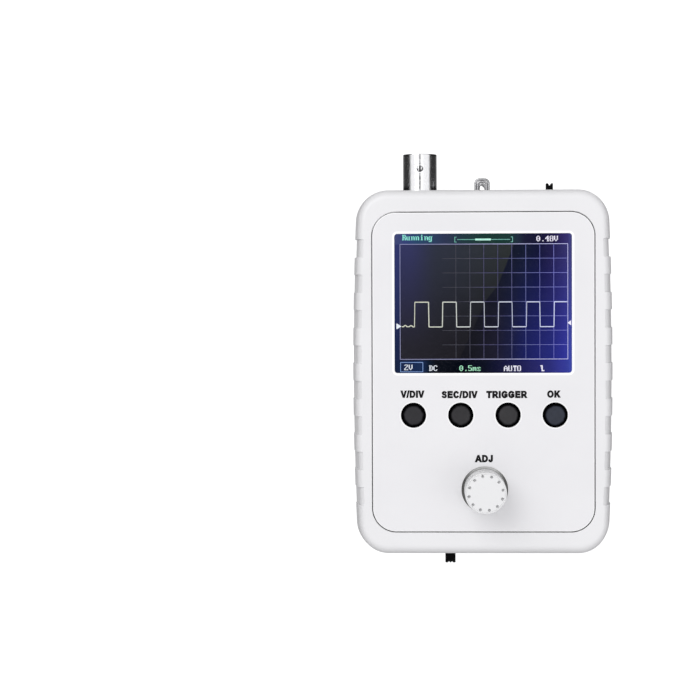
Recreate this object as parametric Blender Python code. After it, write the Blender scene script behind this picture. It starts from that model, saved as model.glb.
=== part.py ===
"""Pocket oscilloscope: a white moulded case on its back, screen up.

Metres, +Z out of the screen, +Y towards the input socket, +X to the right.
The origin is the centre of the flat rear face. Sizes below are in millimetres
and are turned into metres by MM where the meshes are made.
"""

import math

import bmesh
import bpy
from mathutils import Vector
from mathutils.geometry import tessellate_polygon

for old in list(bpy.data.objects):
    bpy.data.objects.remove(old, do_unlink=True)

MM = 0.001
GAP = 0.3  # between two pieces that meet

# Case
CASE_T = 22.0  # rear face to front face
END_Y = 53.4  # half length
SIDE_X = 38.3  # half width at the middle of the bulged sides
SIDE_BULGE = 0.87  # how much narrower the side is at Y = 43
CORNER_R = 9.6
EDGE_R = 3.0  # rounding of the front and rear edges
SIDE_CROWN, END_CROWN = 0.85, 0.25  # how far the walls lean in at their front and rear
PANEL_X, PANEL_Y, PANEL_R = 32.55, 46.8, 7.15  # panel opening, half sizes
LEDGE_X, LEDGE_Y, LEDGE_R = 31.0, 45.25, 5.6  # ledge that a panel sits on
WALL_X, WALL_Y, WALL_R = 34.3, 50.55, 7.6  # inner wall
FRONT_SEAT_Z, REAR_SEAT_Z, LEDGE_T = 19.9, 2.3, 2.0

# Side grips
GRIP_COUNT = 8
GRIP_PITCH = 10.37
GRIP_LEN = 5.2
GRIP_DEPTH = 0.5  # at the front and rear edges
GRIP_MID_DEPTH = 0.2  # half-way down the side; the two nearest the input socket are full depth

# Front panel
PANEL_T = 1.8
WINDOW_W, WINDOW_H, WINDOW_R = 51.6, 40.45, 0.9
WINDOW_CX, WINDOW_CY = -0.05, 20.0
LENS_W, LENS_H, LENS_T = 53.4, 42.0, 0.9
BUTTON_X = (-20.38, -6.61, 7.16, 20.85)
BUTTON_NAMES = ("vdiv", "secdiv", "trigger", "ok")
BUTTON_Y = -12.5
BUTTON_R, BUTTON_HOLE_R = 3.36, 3.66
BUTTON_TOP_Z = 22.7
KNOB_X, KNOB_Y = 0.35, -34.25
KNOB_R, KNOB_HOLE_R = 6.05, 6.7
KNOB_BASE_Z, KNOB_TOP_Z = 20.9, 33.8

# Ends
BNC_X, BNC_Z = -18.35, 11.0
BNC_R, BNC_BORE_R, BNC_END_Y = 4.95, 4.07, 64.0
BNC_LUG_Y, BNC_LUG_R, BNC_LUG_TIP = 59.6, 1.0, 5.65
TERMINAL_X, TERMINAL_Z, TERMINAL_TOP_Y = 0.05, 9.0, 56.9
TERMINAL_W, WIRE_R = 4.7, 0.45
COUPLING_X, SWITCH_Z = 19.95, 9.0
COUPLING_STEP = 2.0  # from the middle stop to each end stop
POWER_X, POWER_STEP = -9.55, 2.0
JACK_X, JACK_Z = 18.0, 11.0

# Inside
LUG_X, LUG_Y, LUG_R = 27.8, 41.2, 3.2
POST_X, POST_R = 27.8, 2.6
POST_YS = (-4.6, -40.6)
LOWER_Z, MAIN_Z, BOARD_T = 4.6, 12.5, 1.6
LOWER_TOP, MAIN_TOP = LOWER_Z + BOARD_T + GAP, MAIN_Z + BOARD_T + GAP


# ---------------------------------------------------------------- materials
def material(name, rgb, rough, metal=0.0, alpha=1.0):
    mat = bpy.data.materials.new(name)
    mat.use_nodes = True
    shader = mat.node_tree.nodes["Principled BSDF"]
    shader.inputs["Base Color"].default_value = (*rgb, 1.0)
    shader.inputs["Roughness"].default_value = rough
    shader.inputs["Metallic"].default_value = metal
    shader.inputs["Alpha"].default_value = alpha
    mat.diffuse_color = (*rgb, alpha)
    return mat


CASE_WHITE = material("case_white", (0.86, 0.86, 0.88), 0.38)
KNOB_WHITE = material("knob_white", (0.88, 0.88, 0.89), 0.35)
BUTTON_BLACK = material("button_black", (0.03, 0.03, 0.037), 0.42)
SWITCH_BLACK = material("switch_black", (0.012, 0.012, 0.013), 0.45)
NICKEL = material("nickel", (0.66, 0.66, 0.67), 0.16, 1.0)
STEEL = material("steel", (0.52, 0.52, 0.54), 0.3, 1.0)
BRASS = material("brass", (0.76, 0.56, 0.22), 0.25, 1.0)
PTFE = material("ptfe", (0.87, 0.87, 0.85), 0.5)
LENS = material("lens", (0.5, 0.52, 0.6), 0.05, 0.0, 0.25)
SCREEN = material("screen", (0.02, 0.02, 0.12), 0.12)
BOARD_GREEN = material("board_green", (0.02, 0.14, 0.06), 0.4)
CHIP_BLACK = material("chip_black", (0.02, 0.02, 0.022), 0.5)
FOAM = material("foam", (0.07, 0.07, 0.08), 0.95)
RIBBON = material("ribbon", (0.55, 0.25, 0.05), 0.45)


# ------------------------------------------------------------------ helpers
def rounded(half_x, half_y, radius, steps=6, cx=0.0, cy=0.0):
    """Rounded rectangle, counter-clockwise from the right side's top."""
    points = []
    for quarter in range(4):
        sx = 1 if quarter in (0, 3) else -1
        sy = 1 if quarter in (0, 1) else -1
        for i in range(steps + 1):
            a = math.radians(90 * quarter + 90 * i / steps)
            points.append(
                (
                    cx + sx * (half_x - radius) + radius * math.cos(a),
                    cy + sy * (half_y - radius) + radius * math.sin(a),
                )
            )
    return points


def circle(radius, n, cx=0.0, cy=0.0, start=0.0):
    return [
        (
            cx + radius * math.cos(start + 2 * math.pi * i / n),
            cy + radius * math.sin(start + 2 * math.pi * i / n),
        )
        for i in range(n)
    ]


def place(name, points, faces, mat, loc=(0, 0, 0), rot=(0, 0, 0), smooth=None):
    """An object from points in millimetres about its own origin."""
    mesh = bpy.data.meshes.new(name)
    mesh.from_pydata([tuple(c * MM for c in p) for p in points], [], faces)
    bm = bmesh.new()
    bm.from_mesh(mesh)
    bmesh.ops.recalc_face_normals(bm, faces=bm.faces[:])
    bm.to_mesh(mesh)
    bm.free()
    if smooth:
        mesh.shade_smooth()
        mesh.set_sharp_from_angle(angle=math.radians(smooth))
    if mat:
        mesh.materials.append(mat)
    obj = bpy.data.objects.new(name, mesh)
    obj.location = [c * MM for c in loc]
    obj.rotation_euler = rot
    bpy.context.scene.collection.objects.link(obj)
    return obj


def plate(name, outline, z0, z1, mat, holes=(), loc=(0, 0, 0), rot=(0, 0, 0), smooth=None):
    """A flat plate with straight walls and any holes through it."""
    loops = [list(outline)] + [list(h) for h in holes]
    flat = [p for loop in loops for p in loop]
    n = len(flat)
    points = [(x, y, z0) for x, y in flat] + [(x, y, z1) for x, y in flat]
    tris = tessellate_polygon([[Vector((x, y, 0)) for x, y in loop] for loop in loops])
    faces = [tuple(t) for t in tris] + [tuple(i + n for i in reversed(t)) for t in tris]
    start = 0
    for loop in loops:
        k = len(loop)
        for i in range(k):
            a, b = start + i, start + (i + 1) % k
            faces.append((a, b, b + n, a + n))
        start += k
    return place(name, points, faces, mat, loc, rot, smooth)


def block(name, x0, x1, y0, y1, z0, z1, mat, bevel=0.0):
    """A box on its own centre, with its edges rounded a little."""
    cx, cy, cz = (x0 + x1) / 2, (y0 + y1) / 2, (z0 + z1) / 2
    outline = [(x1 - cx, y0 - cy), (x1 - cx, y1 - cy), (x0 - cx, y1 - cy), (x0 - cx, y0 - cy)]
    obj = plate(name, outline, z0 - cz, z1 - cz, mat, loc=(cx, cy, cz))
    if bevel:
        # the two caps are rejoined into quads so that the bevel has no diagonal to cut
        bm = bmesh.new()
        bm.from_mesh(obj.data)
        bmesh.ops.dissolve_limit(bm, angle_limit=0.01, verts=bm.verts[:], edges=bm.edges[:])
        bm.to_mesh(obj.data)
        bm.free()
        mod = obj.modifiers.new("edges", "BEVEL")
        mod.width = bevel * MM
        mod.segments = 1
        mod.limit_method = "ANGLE"
    return obj


def lathe(name, profile, n, mat, loc=(0, 0, 0), rot=(0, 0, 0), smooth=40, shape=None):
    """A profile of (r, z) turned about its own Z; it may start and end on the axis."""
    rings, points = [], []
    for index, (r, z) in enumerate(profile):
        if r <= 1e-9:
            rings.append([len(points)])
            points.append((0.0, 0.0, z))
            continue
        ring = []
        for k in range(n):
            a = 2 * math.pi * k / n
            rr = r if shape is None else shape(index, r, a)
            ring.append(len(points))
            points.append((rr * math.cos(a), rr * math.sin(a), z))
        rings.append(ring)
    faces = []
    count = len(rings)
    closed = len(rings[0]) > 1 and len(rings[-1]) > 1
    for i in range(count if closed else count - 1):
        a, b = rings[i], rings[(i + 1) % count]
        for k in range(n):
            m = (k + 1) % n
            if len(a) == 1:
                faces.append((a[0], b[k], b[m]))
            elif len(b) == 1:
                faces.append((a[k], b[0], a[m]))
            else:
                faces.append((a[k], b[k], b[m], a[m]))
    return place(name, points, faces, mat, loc, rot, smooth)


def cut(obj, cutter, how="DIFFERENCE"):
    cutter.hide_render = True
    cutter.display_type = "WIRE"
    mod = obj.modifiers.new(cutter.name, "BOOLEAN")
    mod.operation = how
    mod.object = cutter
    mod.solver = "EXACT"


TO_PLUS_Y = (math.radians(-90), 0, 0)
TO_MINUS_Y = (math.radians(90), 0, 0)


# --------------------------------------------------------------- side frame
def side_x(y):
    return SIDE_X - SIDE_BULGE * (y / 43.0) ** 2


def frame_stations(corner_steps=6, end_steps=3):
    """Stations round the case, each (outer point, outward normal, panel, ledge and wall points, grip).

    The quarter from the middle of the right side to the middle of the top is
    worked out, then mirrored to the other three.
    """
    slope = 2 * SIDE_BULGE * (END_Y - CORNER_R) / 43.0**2
    theta = math.atan(slope)
    y_end = END_Y - CORNER_R + CORNER_R * math.sin(theta)
    cx = side_x(y_end) - CORNER_R * math.cos(theta)
    cy = END_Y - CORNER_R
    quarter = []
    ys = []
    for i in range(GRIP_COUNT // 2):
        mid = GRIP_PITCH * (i + 0.5)
        kind = 2 if i == GRIP_COUNT // 2 - 1 else 1
        ys += [
            (mid - GRIP_LEN / 2 - 0.12, 0),
            (mid - GRIP_LEN / 2 + 0.06, kind),
            (mid + GRIP_LEN / 2 - 0.06, kind),
            (mid + GRIP_LEN / 2 + 0.12, 0),
        ]
    for y, grip in ys:
        t = math.atan(2 * SIDE_BULGE * y / 43.0**2)
        quarter.append(
            ((side_x(y), y), (math.cos(t), math.sin(t)), (PANEL_X, y), (LEDGE_X, y), (WALL_X, y), grip)
        )
    for i in range(corner_steps + 1):
        f = i / corner_steps
        a = theta + (math.pi / 2 - theta) * f
        b = math.pi / 2 * f
        arc = lambda hx, hy, r: (hx - r + r * math.cos(b), hy - r + r * math.sin(b))
        quarter.append(
            (
                (cx + CORNER_R * math.cos(a), cy + CORNER_R * math.sin(a)),
                (math.cos(a), math.sin(a)),
                arc(PANEL_X, PANEL_Y, PANEL_R),
                arc(LEDGE_X, LEDGE_Y, LEDGE_R),
                arc(WALL_X, WALL_Y, WALL_R),
                0,
            )
        )
    for i in range(1, end_steps):
        f = 1 - i / end_steps
        quarter.append(
            (
                (cx * f, END_Y),
                (0.0, 1.0),
                ((PANEL_X - PANEL_R) * f, PANEL_Y),
                ((LEDGE_X - LEDGE_R) * f, LEDGE_Y),
                ((WALL_X - WALL_R) * f, WALL_Y),
                0,
            )
        )

    def mirror(station, sx, sy):
        kind = min(station[5], 1) if sy < 0 else station[5]
        return tuple((p[0] * sx, p[1] * sy) for p in station[:5]) + (kind,)

    q1 = quarter
    q2 = [mirror(s, -1, 1) for s in reversed(quarter)]
    q3 = [mirror(s, -1, -1) for s in quarter]
    q4 = [mirror(s, 1, -1) for s in reversed(quarter)]
    return q1 + q2 + q3 + q4


def frame_section(station, arc_steps=4):
    """The ring's closed section at one station, as points in space."""
    outer, normal, panel, ledge, wall, grip = station
    depth = GRIP_DEPTH if grip else 0.0
    mid_depth = (0.0, GRIP_MID_DEPTH, GRIP_DEPTH)[grip]
    crown = END_CROWN + (SIDE_CROWN - END_CROWN) * normal[0] ** 2

    def inward(d, z):
        return (outer[0] - normal[0] * d, outer[1] - normal[1] * d, z)

    points = [(*panel, CASE_T)]
    for i in range(arc_steps + 1):
        a = math.pi / 2 * i / arc_steps
        share = 1.0 if a > 0 else 0.0  # the grip ends where the flat front begins
        points.append(
            inward(
                EDGE_R - (EDGE_R - crown) * math.sin(a) + depth * share,
                CASE_T - EDGE_R + EDGE_R * math.cos(a),
            )
        )
    points.append(inward(mid_depth, CASE_T / 2))
    for i in range(arc_steps + 1):
        a = math.pi / 2 * (1 - i / arc_steps)
        share = 1.0 if a > 0 else 0.0
        points.append(
            inward(
                EDGE_R - (EDGE_R - crown) * math.sin(a) + depth * share,
                EDGE_R - EDGE_R * math.cos(a),
            )
        )
    points += [
        (*panel, 0.0),
        (*panel, REAR_SEAT_Z),
        (*ledge, REAR_SEAT_Z),
        (*ledge, REAR_SEAT_Z + LEDGE_T),
        (*wall, REAR_SEAT_Z + LEDGE_T),
        (*wall, FRONT_SEAT_Z - LEDGE_T),
        (*ledge, FRONT_SEAT_Z - LEDGE_T),
        (*ledge, FRONT_SEAT_Z),
        (*panel, FRONT_SEAT_Z),
    ]
    return points


def make_side_frame():
    sections = [frame_section(s) for s in frame_stations()]
    k, n = len(sections[0]), len(sections)
    points = [p for section in sections for p in section]
    faces = []
    for i in range(n):
        j = (i + 1) % n
        for m in range(k):
            o = (m + 1) % k
            faces.append((i * k + m, j * k + m, j * k + o, i * k + o))
    frame = place("side_frame", points, faces, CASE_WHITE, smooth=35)
    # corner lugs for the rear screws
    for i, (sx, sy) in enumerate(((1, 1), (-1, 1), (-1, -1), (1, -1))):
        lug = plate(
            f"lug_add_{i}",
            circle(LUG_R, 16),
            REAR_SEAT_Z,
            10.0,
            None,
            loc=(sx * LUG_X, sy * LUG_Y, 0),
        )
        cut(frame, lug, "UNION")
    for i, (sx, sy) in enumerate(((1, 1), (-1, 1), (-1, -1), (1, -1))):
        hole = plate(
            f"lug_hole_{i}", circle(1.35, 12), 1.0, 9.0, None, loc=(sx * LUG_X, sy * LUG_Y, 0)
        )
        cut(frame, hole)
    # openings in the two end walls
    bnc = lathe("cut_bnc", [(0, 48), (5.25, 48), (5.25, 56), (0, 56)], 24, None, (BNC_X, 0, BNC_Z), TO_PLUS_Y)
    slot = lambda name, x, hx, hz, y0, y1: block(
        name, x - hx, x + hx, y0, y1, SWITCH_Z - hz, SWITCH_Z + hz, None
    )
    jack = lathe("cut_jack", [(0, 48), (4.4, 48), (4.4, 56), (0, 56)], 24, None, (JACK_X, 0, JACK_Z), TO_MINUS_Y)
    for cutter in (
        bnc,
        slot("cut_terminal", TERMINAL_X, 3.0, 1.0, 48.0, 56.0),
        slot("cut_coupling", COUPLING_X, 3.4, 1.6, 48.0, 56.0),
        slot("cut_power", POWER_X + POWER_STEP / 2, 2.8, 1.6, -56.0, -48.0),
        jack,
    ):
        cut(frame, cutter)
    return frame


make_side_frame()


# -------------------------------------------------------------- front panel
front = plate(
    "front_panel",
    rounded(PANEL_X - GAP, PANEL_Y - GAP, PANEL_R - GAP),
    CASE_T - PANEL_T,
    CASE_T,
    CASE_WHITE,
    holes=[
        rounded(WINDOW_W / 2, WINDOW_H / 2, WINDOW_R, 3, WINDOW_CX, WINDOW_CY),
        # each hole is turned a little, so that no three of their points are in line
        *[circle(BUTTON_HOLE_R, 24, x, BUTTON_Y, 0.03 + 0.02 * i) for i, x in enumerate(BUTTON_X)],
        circle(KNOB_HOLE_R, 36, KNOB_X, KNOB_Y),
    ],
    smooth=35,
)
pocket = plate(
    "cut_lens_pocket",
    rounded(LENS_W / 2 + GAP, LENS_H / 2 + GAP, 1.0, 2, WINDOW_CX, WINDOW_CY),
    18.0,
    CASE_T - PANEL_T / 2,
    None,
)
cut(front, pocket)
for i, (sx, y) in enumerate(((1, POST_YS[0]), (-1, POST_YS[0]), (-1, POST_YS[1]), (1, POST_YS[1]))):
    post = plate(
        f"post_add_{i}", circle(POST_R, 16), MAIN_TOP, CASE_T - PANEL_T + 0.4, None, loc=(sx * POST_X, y, 0)
    )
    cut(front, post, "UNION")
for i, (sx, y) in enumerate(((1, POST_YS[0]), (-1, POST_YS[0]), (-1, POST_YS[1]), (1, POST_YS[1]))):
    bore = plate(f"post_bore_{i}", circle(1.4, 12), 12.0, 19.2, None, loc=(sx * POST_X, y, 0))
    cut(front, bore)

# --------------------------------------------------------------- rear panel
rear = plate(
    "rear_panel",
    rounded(PANEL_X - GAP, PANEL_Y - GAP, PANEL_R - GAP),
    0.0,
    REAR_SEAT_Z - GAP,
    CASE_WHITE,
    holes=[circle(1.6, 16, sx * LUG_X, sy * LUG_Y) for sx in (1, -1) for sy in (1, -1)],
    smooth=35,
)
for i, (sx, sy) in enumerate(((1, 1), (-1, 1), (-1, -1), (1, -1))):
    sink = plate(f"cut_head_{i}", circle(2.9, 20), -1.0, 1.3, None, loc=(sx * LUG_X, sy * LUG_Y, 0))
    cut(rear, sink)
    # self-tapping screw: flat pan head in the counterbore, shank in the frame's lug
    lathe(
        f"case_screw_{i + 1}",
        [(0, 0.4), (2.1, 0.4), (2.45, 0.75), (2.45, 1.0), (1.05, 1.0), (1.05, 7.8), (0.4, 8.6), (0, 8.6)],
        16,
        STEEL,
        (sx * LUG_X, sy * LUG_Y, 0),
    )
for i, (sx, y) in enumerate(((1, POST_YS[0]), (-1, POST_YS[0]), (-1, POST_YS[1]), (1, POST_YS[1]))):
    lathe(
        f"board_screw_{i + 1}",
        [(0, 10.7), (1.9, 10.7), (2.2, 11.0), (2.2, 12.2), (1.05, 12.2), (1.05, 17.6), (0.5, 18.5), (0, 18.5)],
        12,
        STEEL,
        (sx * POST_X, y, 0),
    )

# ------------------------------------------------------------------ display
plate("screen_lens", rounded(LENS_W / 2, LENS_H / 2, 0.8, 2), -LENS_T / 2, LENS_T / 2, LENS,
      loc=(WINDOW_CX, WINDOW_CY, 20.35))
block("lcd_glass", -26.8, 26.7, -1.2, 41.4, 18.5, 19.6, SCREEN)
block("lcd_frame", -27.2, 27.1, -1.6, 41.8, 16.2, 18.2, STEEL, 0.25)
block("display_pad", -24.0, 24.0, 1.0, 34.0, 14.4, 15.9, FOAM, 0.3)
ribbon = plate(
    "display_ribbon",
    [(-2.0, 15.9), (-4.9, 15.9), (-4.9, 14.4), (-2.9, 14.4), (-2.9, 14.6), (-4.6, 14.6), (-4.6, 15.6), (-2.0, 15.6)],
    -8.0,
    8.0,
    RIBBON,
    rot=(math.radians(90), 0, math.radians(90)),
)

# ------------------------------------------------------------------- boards
screw_hole = lambda x, y: circle(1.35, 12, x, y)
plate(
    "main_board",
    [
        (30.3, -44.3), (30.3, 35.2), (-30.3, 35.2), (-30.3, -44.3),
        (JACK_X - 4.9, -44.3), (JACK_X - 4.9, -36.5), (JACK_X + 4.9, -36.5), (JACK_X + 4.9, -44.3),
    ],
    MAIN_Z,
    MAIN_Z + BOARD_T,
    BOARD_GREEN,
    holes=[screw_hole(s * POST_X, y) for s in (1, -1) for y in POST_YS],
)
nx, ny = LUG_X - LUG_R - 0.4, LUG_Y - LUG_R - 0.4
plate(
    "lower_board",
    [
        (30.5, -ny), (30.5, ny), (nx, ny), (nx, 44.6), (-nx, 44.6), (-nx, ny),
        (-30.5, ny), (-30.5, -ny), (-nx, -ny), (-nx, -44.6), (nx, -44.6), (nx, -ny),
    ],
    LOWER_Z,
    LOWER_Z + BOARD_T,
    BOARD_GREEN,
)
block("pin_header_left", -28.6, -23.6, 4.0, 26.0, LOWER_TOP, 12.2, CHIP_BLACK, 0.3)
block("pin_header_right", 23.6, 28.6, 4.0, 26.0, LOWER_TOP, 12.2, CHIP_BLACK, 0.3)
block("shield_can", -10.5, 8.5, 21.0, 38.0, LOWER_TOP, 10.6, NICKEL, 0.5)
block("mcu_chip", -14.5, -5.5, -22.0, -13.0, 10.8, 12.2, CHIP_BLACK, 0.3)
block("crystal", -2.0, 9.0, -19.5, -15.0, 9.4, 12.2, NICKEL, 0.6)
block("opamp_chip", -6.0, 2.6, -26.0, -22.0, LOWER_TOP, 8.1, CHIP_BLACK, 0.3)
block("regulator", 4.0, 10.5, -32.0, -25.5, LOWER_TOP, 8.9, CHIP_BLACK, 0.3)
for name, x, y in (("capacitor_1", 19.0, -26.0), ("capacitor_2", 26.0, -26.0)):
    lathe(name, [(0, 6.5), (3.1, 6.5), (3.1, 7.6), (2.8, 8.0), (2.8, 11.6), (2.5, 11.9), (0, 11.9)], 16, STEEL, (x, y, 0))
for name, y in (("trimmer_1", 27.5), ("trimmer_2", 33.0)):
    lathe(name, [(0, 6.5), (2.2, 6.5), (2.2, 9.6), (1.9, 9.9), (0, 9.9)], 12, PTFE, (-18.5, y, 0))

# ------------------------------------------------------------- input socket
bnc_at = (BNC_X, 0, BNC_Z)
barrel = lathe(
    "bnc_barrel",
    [
        (2.75, 49.8), (BNC_R, 49.8), (BNC_R, BNC_END_Y - 0.25), (BNC_R - 0.25, BNC_END_Y),
        (BNC_BORE_R + 0.12, BNC_END_Y), (BNC_BORE_R, BNC_END_Y - 0.2), (BNC_BORE_R, 52.4), (2.75, 52.4),
    ],
    36,
    NICKEL,
    bnc_at,
    TO_PLUS_Y,
)
for i, side in enumerate((1, -1)):
    # bayonet lug, standing out towards the front and the rear
    lug = lathe(
        f"bnc_lug_add_{i}",
        [(0, 4.3), (BNC_LUG_R, 4.3), (BNC_LUG_R, BNC_LUG_TIP - 0.2), (BNC_LUG_R - 0.2, BNC_LUG_TIP), (0, BNC_LUG_TIP)],
        16,
        None,
        (BNC_X, BNC_LUG_Y, BNC_Z),
        (0 if side > 0 else math.pi, 0, 0),
    )
    cut(barrel, lug, "UNION")
lathe("bnc_insulator", [(1.35, 49.9), (2.4, 49.9), (2.4, 61.9), (2.2, 62.1), (1.35, 62.1)], 24, PTFE, bnc_at, TO_PLUS_Y)
lathe("bnc_contact", [(0, 49.9), (1.05, 49.9), (1.05, 61.3), (0.9, 61.5), (0.68, 61.5), (0.68, 57.0), (0, 57.0)], 20, BRASS, bnc_at, TO_PLUS_Y)
block("bnc_block", BNC_X - 5.3, BNC_X + 5.3, 36.5, 49.4, LOWER_TOP, 15.8, SWITCH_BLACK, 0.5)

# ------------------------------------------------------------ test terminal
curve = bpy.data.curves.new("test_terminal", "CURVE")
curve.dimensions = "3D"
curve.bevel_depth = WIRE_R * MM
curve.bevel_resolution = 2
curve.use_fill_caps = True
spline = curve.splines.new("POLY")
arch = TERMINAL_W / 2 - WIRE_R
centre_y = TERMINAL_TOP_Y - WIRE_R - arch
route = [(-arch, 42.6, 6.6), (-arch, 42.6, 7.6), (-arch, 42.9, 8.6), (-arch, 43.7, TERMINAL_Z), (-arch, 48.0, TERMINAL_Z)]
route += [
    (-arch * math.cos(math.pi * i / 12), centre_y + arch * math.sin(math.pi * i / 12), TERMINAL_Z)
    for i in range(13)
]
route += [(arch, 48.0, TERMINAL_Z), (arch, 43.7, TERMINAL_Z), (arch, 42.9, 8.6), (arch, 42.6, 7.6), (arch, 42.6, 6.6)]
spline.points.add(len(route) - 1)
for point, (x, y, z) in zip(spline.points, route):
    point.co = (x * MM, y * MM, z * MM, 1.0)
curve.materials.append(NICKEL)
terminal = bpy.data.objects.new("test_terminal", curve)
terminal.location = (TERMINAL_X * MM, 0, 0)
bpy.context.scene.collection.objects.link(terminal)


# ----------------------------------------------------------- slide switches
def slide_switch(tag, x, centre, half_nub, reach, side):
    """Can with a slot, and the slider that runs in it; side is +1 at the top end, -1 at the bottom."""
    half_can = 4.9
    y0, y1 = (43.2, 50.0) if side > 0 else (-50.0, -43.2)
    can = block(f"{tag}_switch_can", centre - half_can, centre + half_can, y0, y1, LOWER_TOP, 11.5, STEEL, 0.3)
    run = half_can - 0.5
    inner = (44.2, 49.2) if side > 0 else (-49.2, -44.2)
    mouth = (48.0, 51.0) if side > 0 else (-51.0, -48.0)
    cut(can, block(f"cut_{tag}_can", centre - run, centre + run, *inner, 7.3, 10.7, None))
    half_slot = COUPLING_STEP + half_nub + 0.4 if side > 0 else POWER_STEP / 2 + half_nub + 0.4
    cut(can, block(f"cut_{tag}_mouth", centre - half_slot, centre + half_slot, *mouth, 7.5, 10.5, None))
    # slider, about its own origin on the slot's centre line; its tip has V grooves for a fingernail
    shoe = 2.0
    half_v, deep = (0.5, 0.7) if side > 0 else (0.3, 0.4)
    grooves = (0.0,) if side > 0 else (0.45, -0.45)
    outline = [
        (-shoe, 44.6), (shoe, 44.6), (shoe, 48.8), (half_nub, 48.8), (half_nub, reach - 0.2),
        (half_nub - 0.2, reach),
    ]
    for g in grooves:
        outline += [(g + half_v, reach), (g, reach - deep), (g - half_v, reach)]
    outline += [(-half_nub + 0.2, reach), (-half_nub, reach - 0.2), (-half_nub, 48.8), (-shoe, 48.8)]
    if side < 0:
        outline = [(px, -py) for px, py in reversed(outline)]
    plate(f"{tag}_slider", outline, -1.2, 1.2, SWITCH_BLACK, loc=(x, 0, SWITCH_Z))


slide_switch("coupling", COUPLING_X, COUPLING_X, 1.02, END_Y + 2.05, 1)
slide_switch("power", POWER_X, POWER_X + POWER_STEP / 2, 1.5, END_Y + 3.65, -1)

# ------------------------------------------------------------- power socket
jack = block("dc_jack", JACK_X - 4.5, JACK_X + 4.5, -49.9, -37.0, LOWER_TOP, 15.5, SWITCH_BLACK, 0.4)
cut(jack, lathe("jack_nose_add", [(0, 49.0), (4.0, 49.0), (4.0, 52.95), (0, 52.95)], 28, None, (JACK_X, 0, JACK_Z), TO_MINUS_Y), "UNION")
cut(jack, lathe("cut_jack_bore", [(0, 42.5), (3.1, 42.5), (3.1, 54.0), (0, 54.0)], 28, None, (JACK_X, 0, JACK_Z), TO_MINUS_Y))
lathe("dc_jack_pin", [(0, 42.8), (1.3, 42.8), (1.3, 43.6), (1.0, 43.8), (1.0, 50.2), (0.6, 50.8), (0, 50.8)], 16, NICKEL, (JACK_X, 0, JACK_Z), TO_MINUS_Y)

# ------------------------------------------------------------------ buttons
for tag, x in zip(BUTTON_NAMES, BUTTON_X):
    body = block(f"tact_switch_{tag}", x - 3.0, x + 3.0, BUTTON_Y - 3.0, BUTTON_Y + 3.0, MAIN_TOP, 17.7, SWITCH_BLACK)
    cut(body, plate(f"cut_tact_{tag}", circle(2.0, 16), 15.9, 19.0, None, loc=(x, BUTTON_Y, 0)))
    lathe(
        f"plunger_{tag}",
        [(0, 16.5), (1.6, 16.5), (1.6, 18.0), (1.1, 18.0), (1.1, 20.4), (0, 20.4)],
        16,
        PTFE,
        (x, BUTTON_Y, 0),
    )
    # cap: a skirted round key with a blind socket for the plunger
    cap = lathe(
        f"button_{tag}",
        [
            (0, 18.3), (4.3, 18.3), (4.3, 19.2), (BUTTON_R, 19.2), (BUTTON_R, BUTTON_TOP_Z - 0.6),
            (BUTTON_R - 0.4, BUTTON_TOP_Z - 0.15), (0, BUTTON_TOP_Z),
        ],
        24,
        BUTTON_BLACK,
        (x, BUTTON_Y, 0),
    )
    cut(cap, plate(f"cut_cap_{tag}", circle(1.4, 12), 17.0, 20.8, None, loc=(x, BUTTON_Y, 0)))

# -------------------------------------------------------- knob and encoder
at_knob = (KNOB_X, KNOB_Y, 0)
encoder = block("encoder_body", KNOB_X - 6.0, KNOB_X + 6.0, KNOB_Y - 6.0, KNOB_Y + 6.0, MAIN_TOP, 19.4, STEEL, 0.4)
cut(encoder, plate("cut_encoder", circle(2.6, 20), 14.9, 21.0, None, loc=at_knob))
lathe("encoder_bush", [(2.45, 19.7), (4.5, 19.7), (4.5, 20.1), (3.5, 20.1), (3.5, 24.0), (3.3, 24.2), (2.45, 24.2)], 24, BRASS, at_knob)
lathe("encoder_plunger", [(0, 15.7), (1.8, 15.7), (1.8, 16.8), (0, 16.8)], 16, PTFE, at_knob)
lathe("encoder_shaft", [(0, 17.1), (2.15, 17.1), (2.15, 25.0), (3.0, 25.0), (3.0, 31.4), (2.7, 31.7), (0, 31.7)], 24, STEEL, at_knob)


def fluted(index, r, a):
    """Twelve shallow grooves down the knob's side, which stop short of its base and its top."""
    wave = max(0.0, math.cos(12 * (a - math.radians(11.0))))
    return r - (0.28 * wave**3 if index in (4, 5) else 0.0)


# a slightly tapered knob, hollow underneath for the bush and the shaft
knob = lathe(
    "knob",
    [
        (0, KNOB_BASE_Z), (KNOB_R, KNOB_BASE_Z), (KNOB_R, 22.8), (6.03, 23.3),
        (6.02, 24.0), (5.99, 31.6), (5.98, 32.2),
        (5.9, 33.1), (5.55, 33.6), (5.1, KNOB_TOP_Z), (0, KNOB_TOP_Z),
    ],
    48,
    KNOB_WHITE,
    at_knob,
    shape=fluted,
)
cut(knob, lathe("cut_knob_bush", [(0, 19.0), (4.0, 19.0), (4.0, 25.4), (3.3, 25.4), (3.3, 32.0), (0, 32.0)], 24, None, at_knob))
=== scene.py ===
import math

import bmesh
import bpy
from mathutils import Matrix, Vector
from mathutils.geometry import tessellate_polygon


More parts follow.
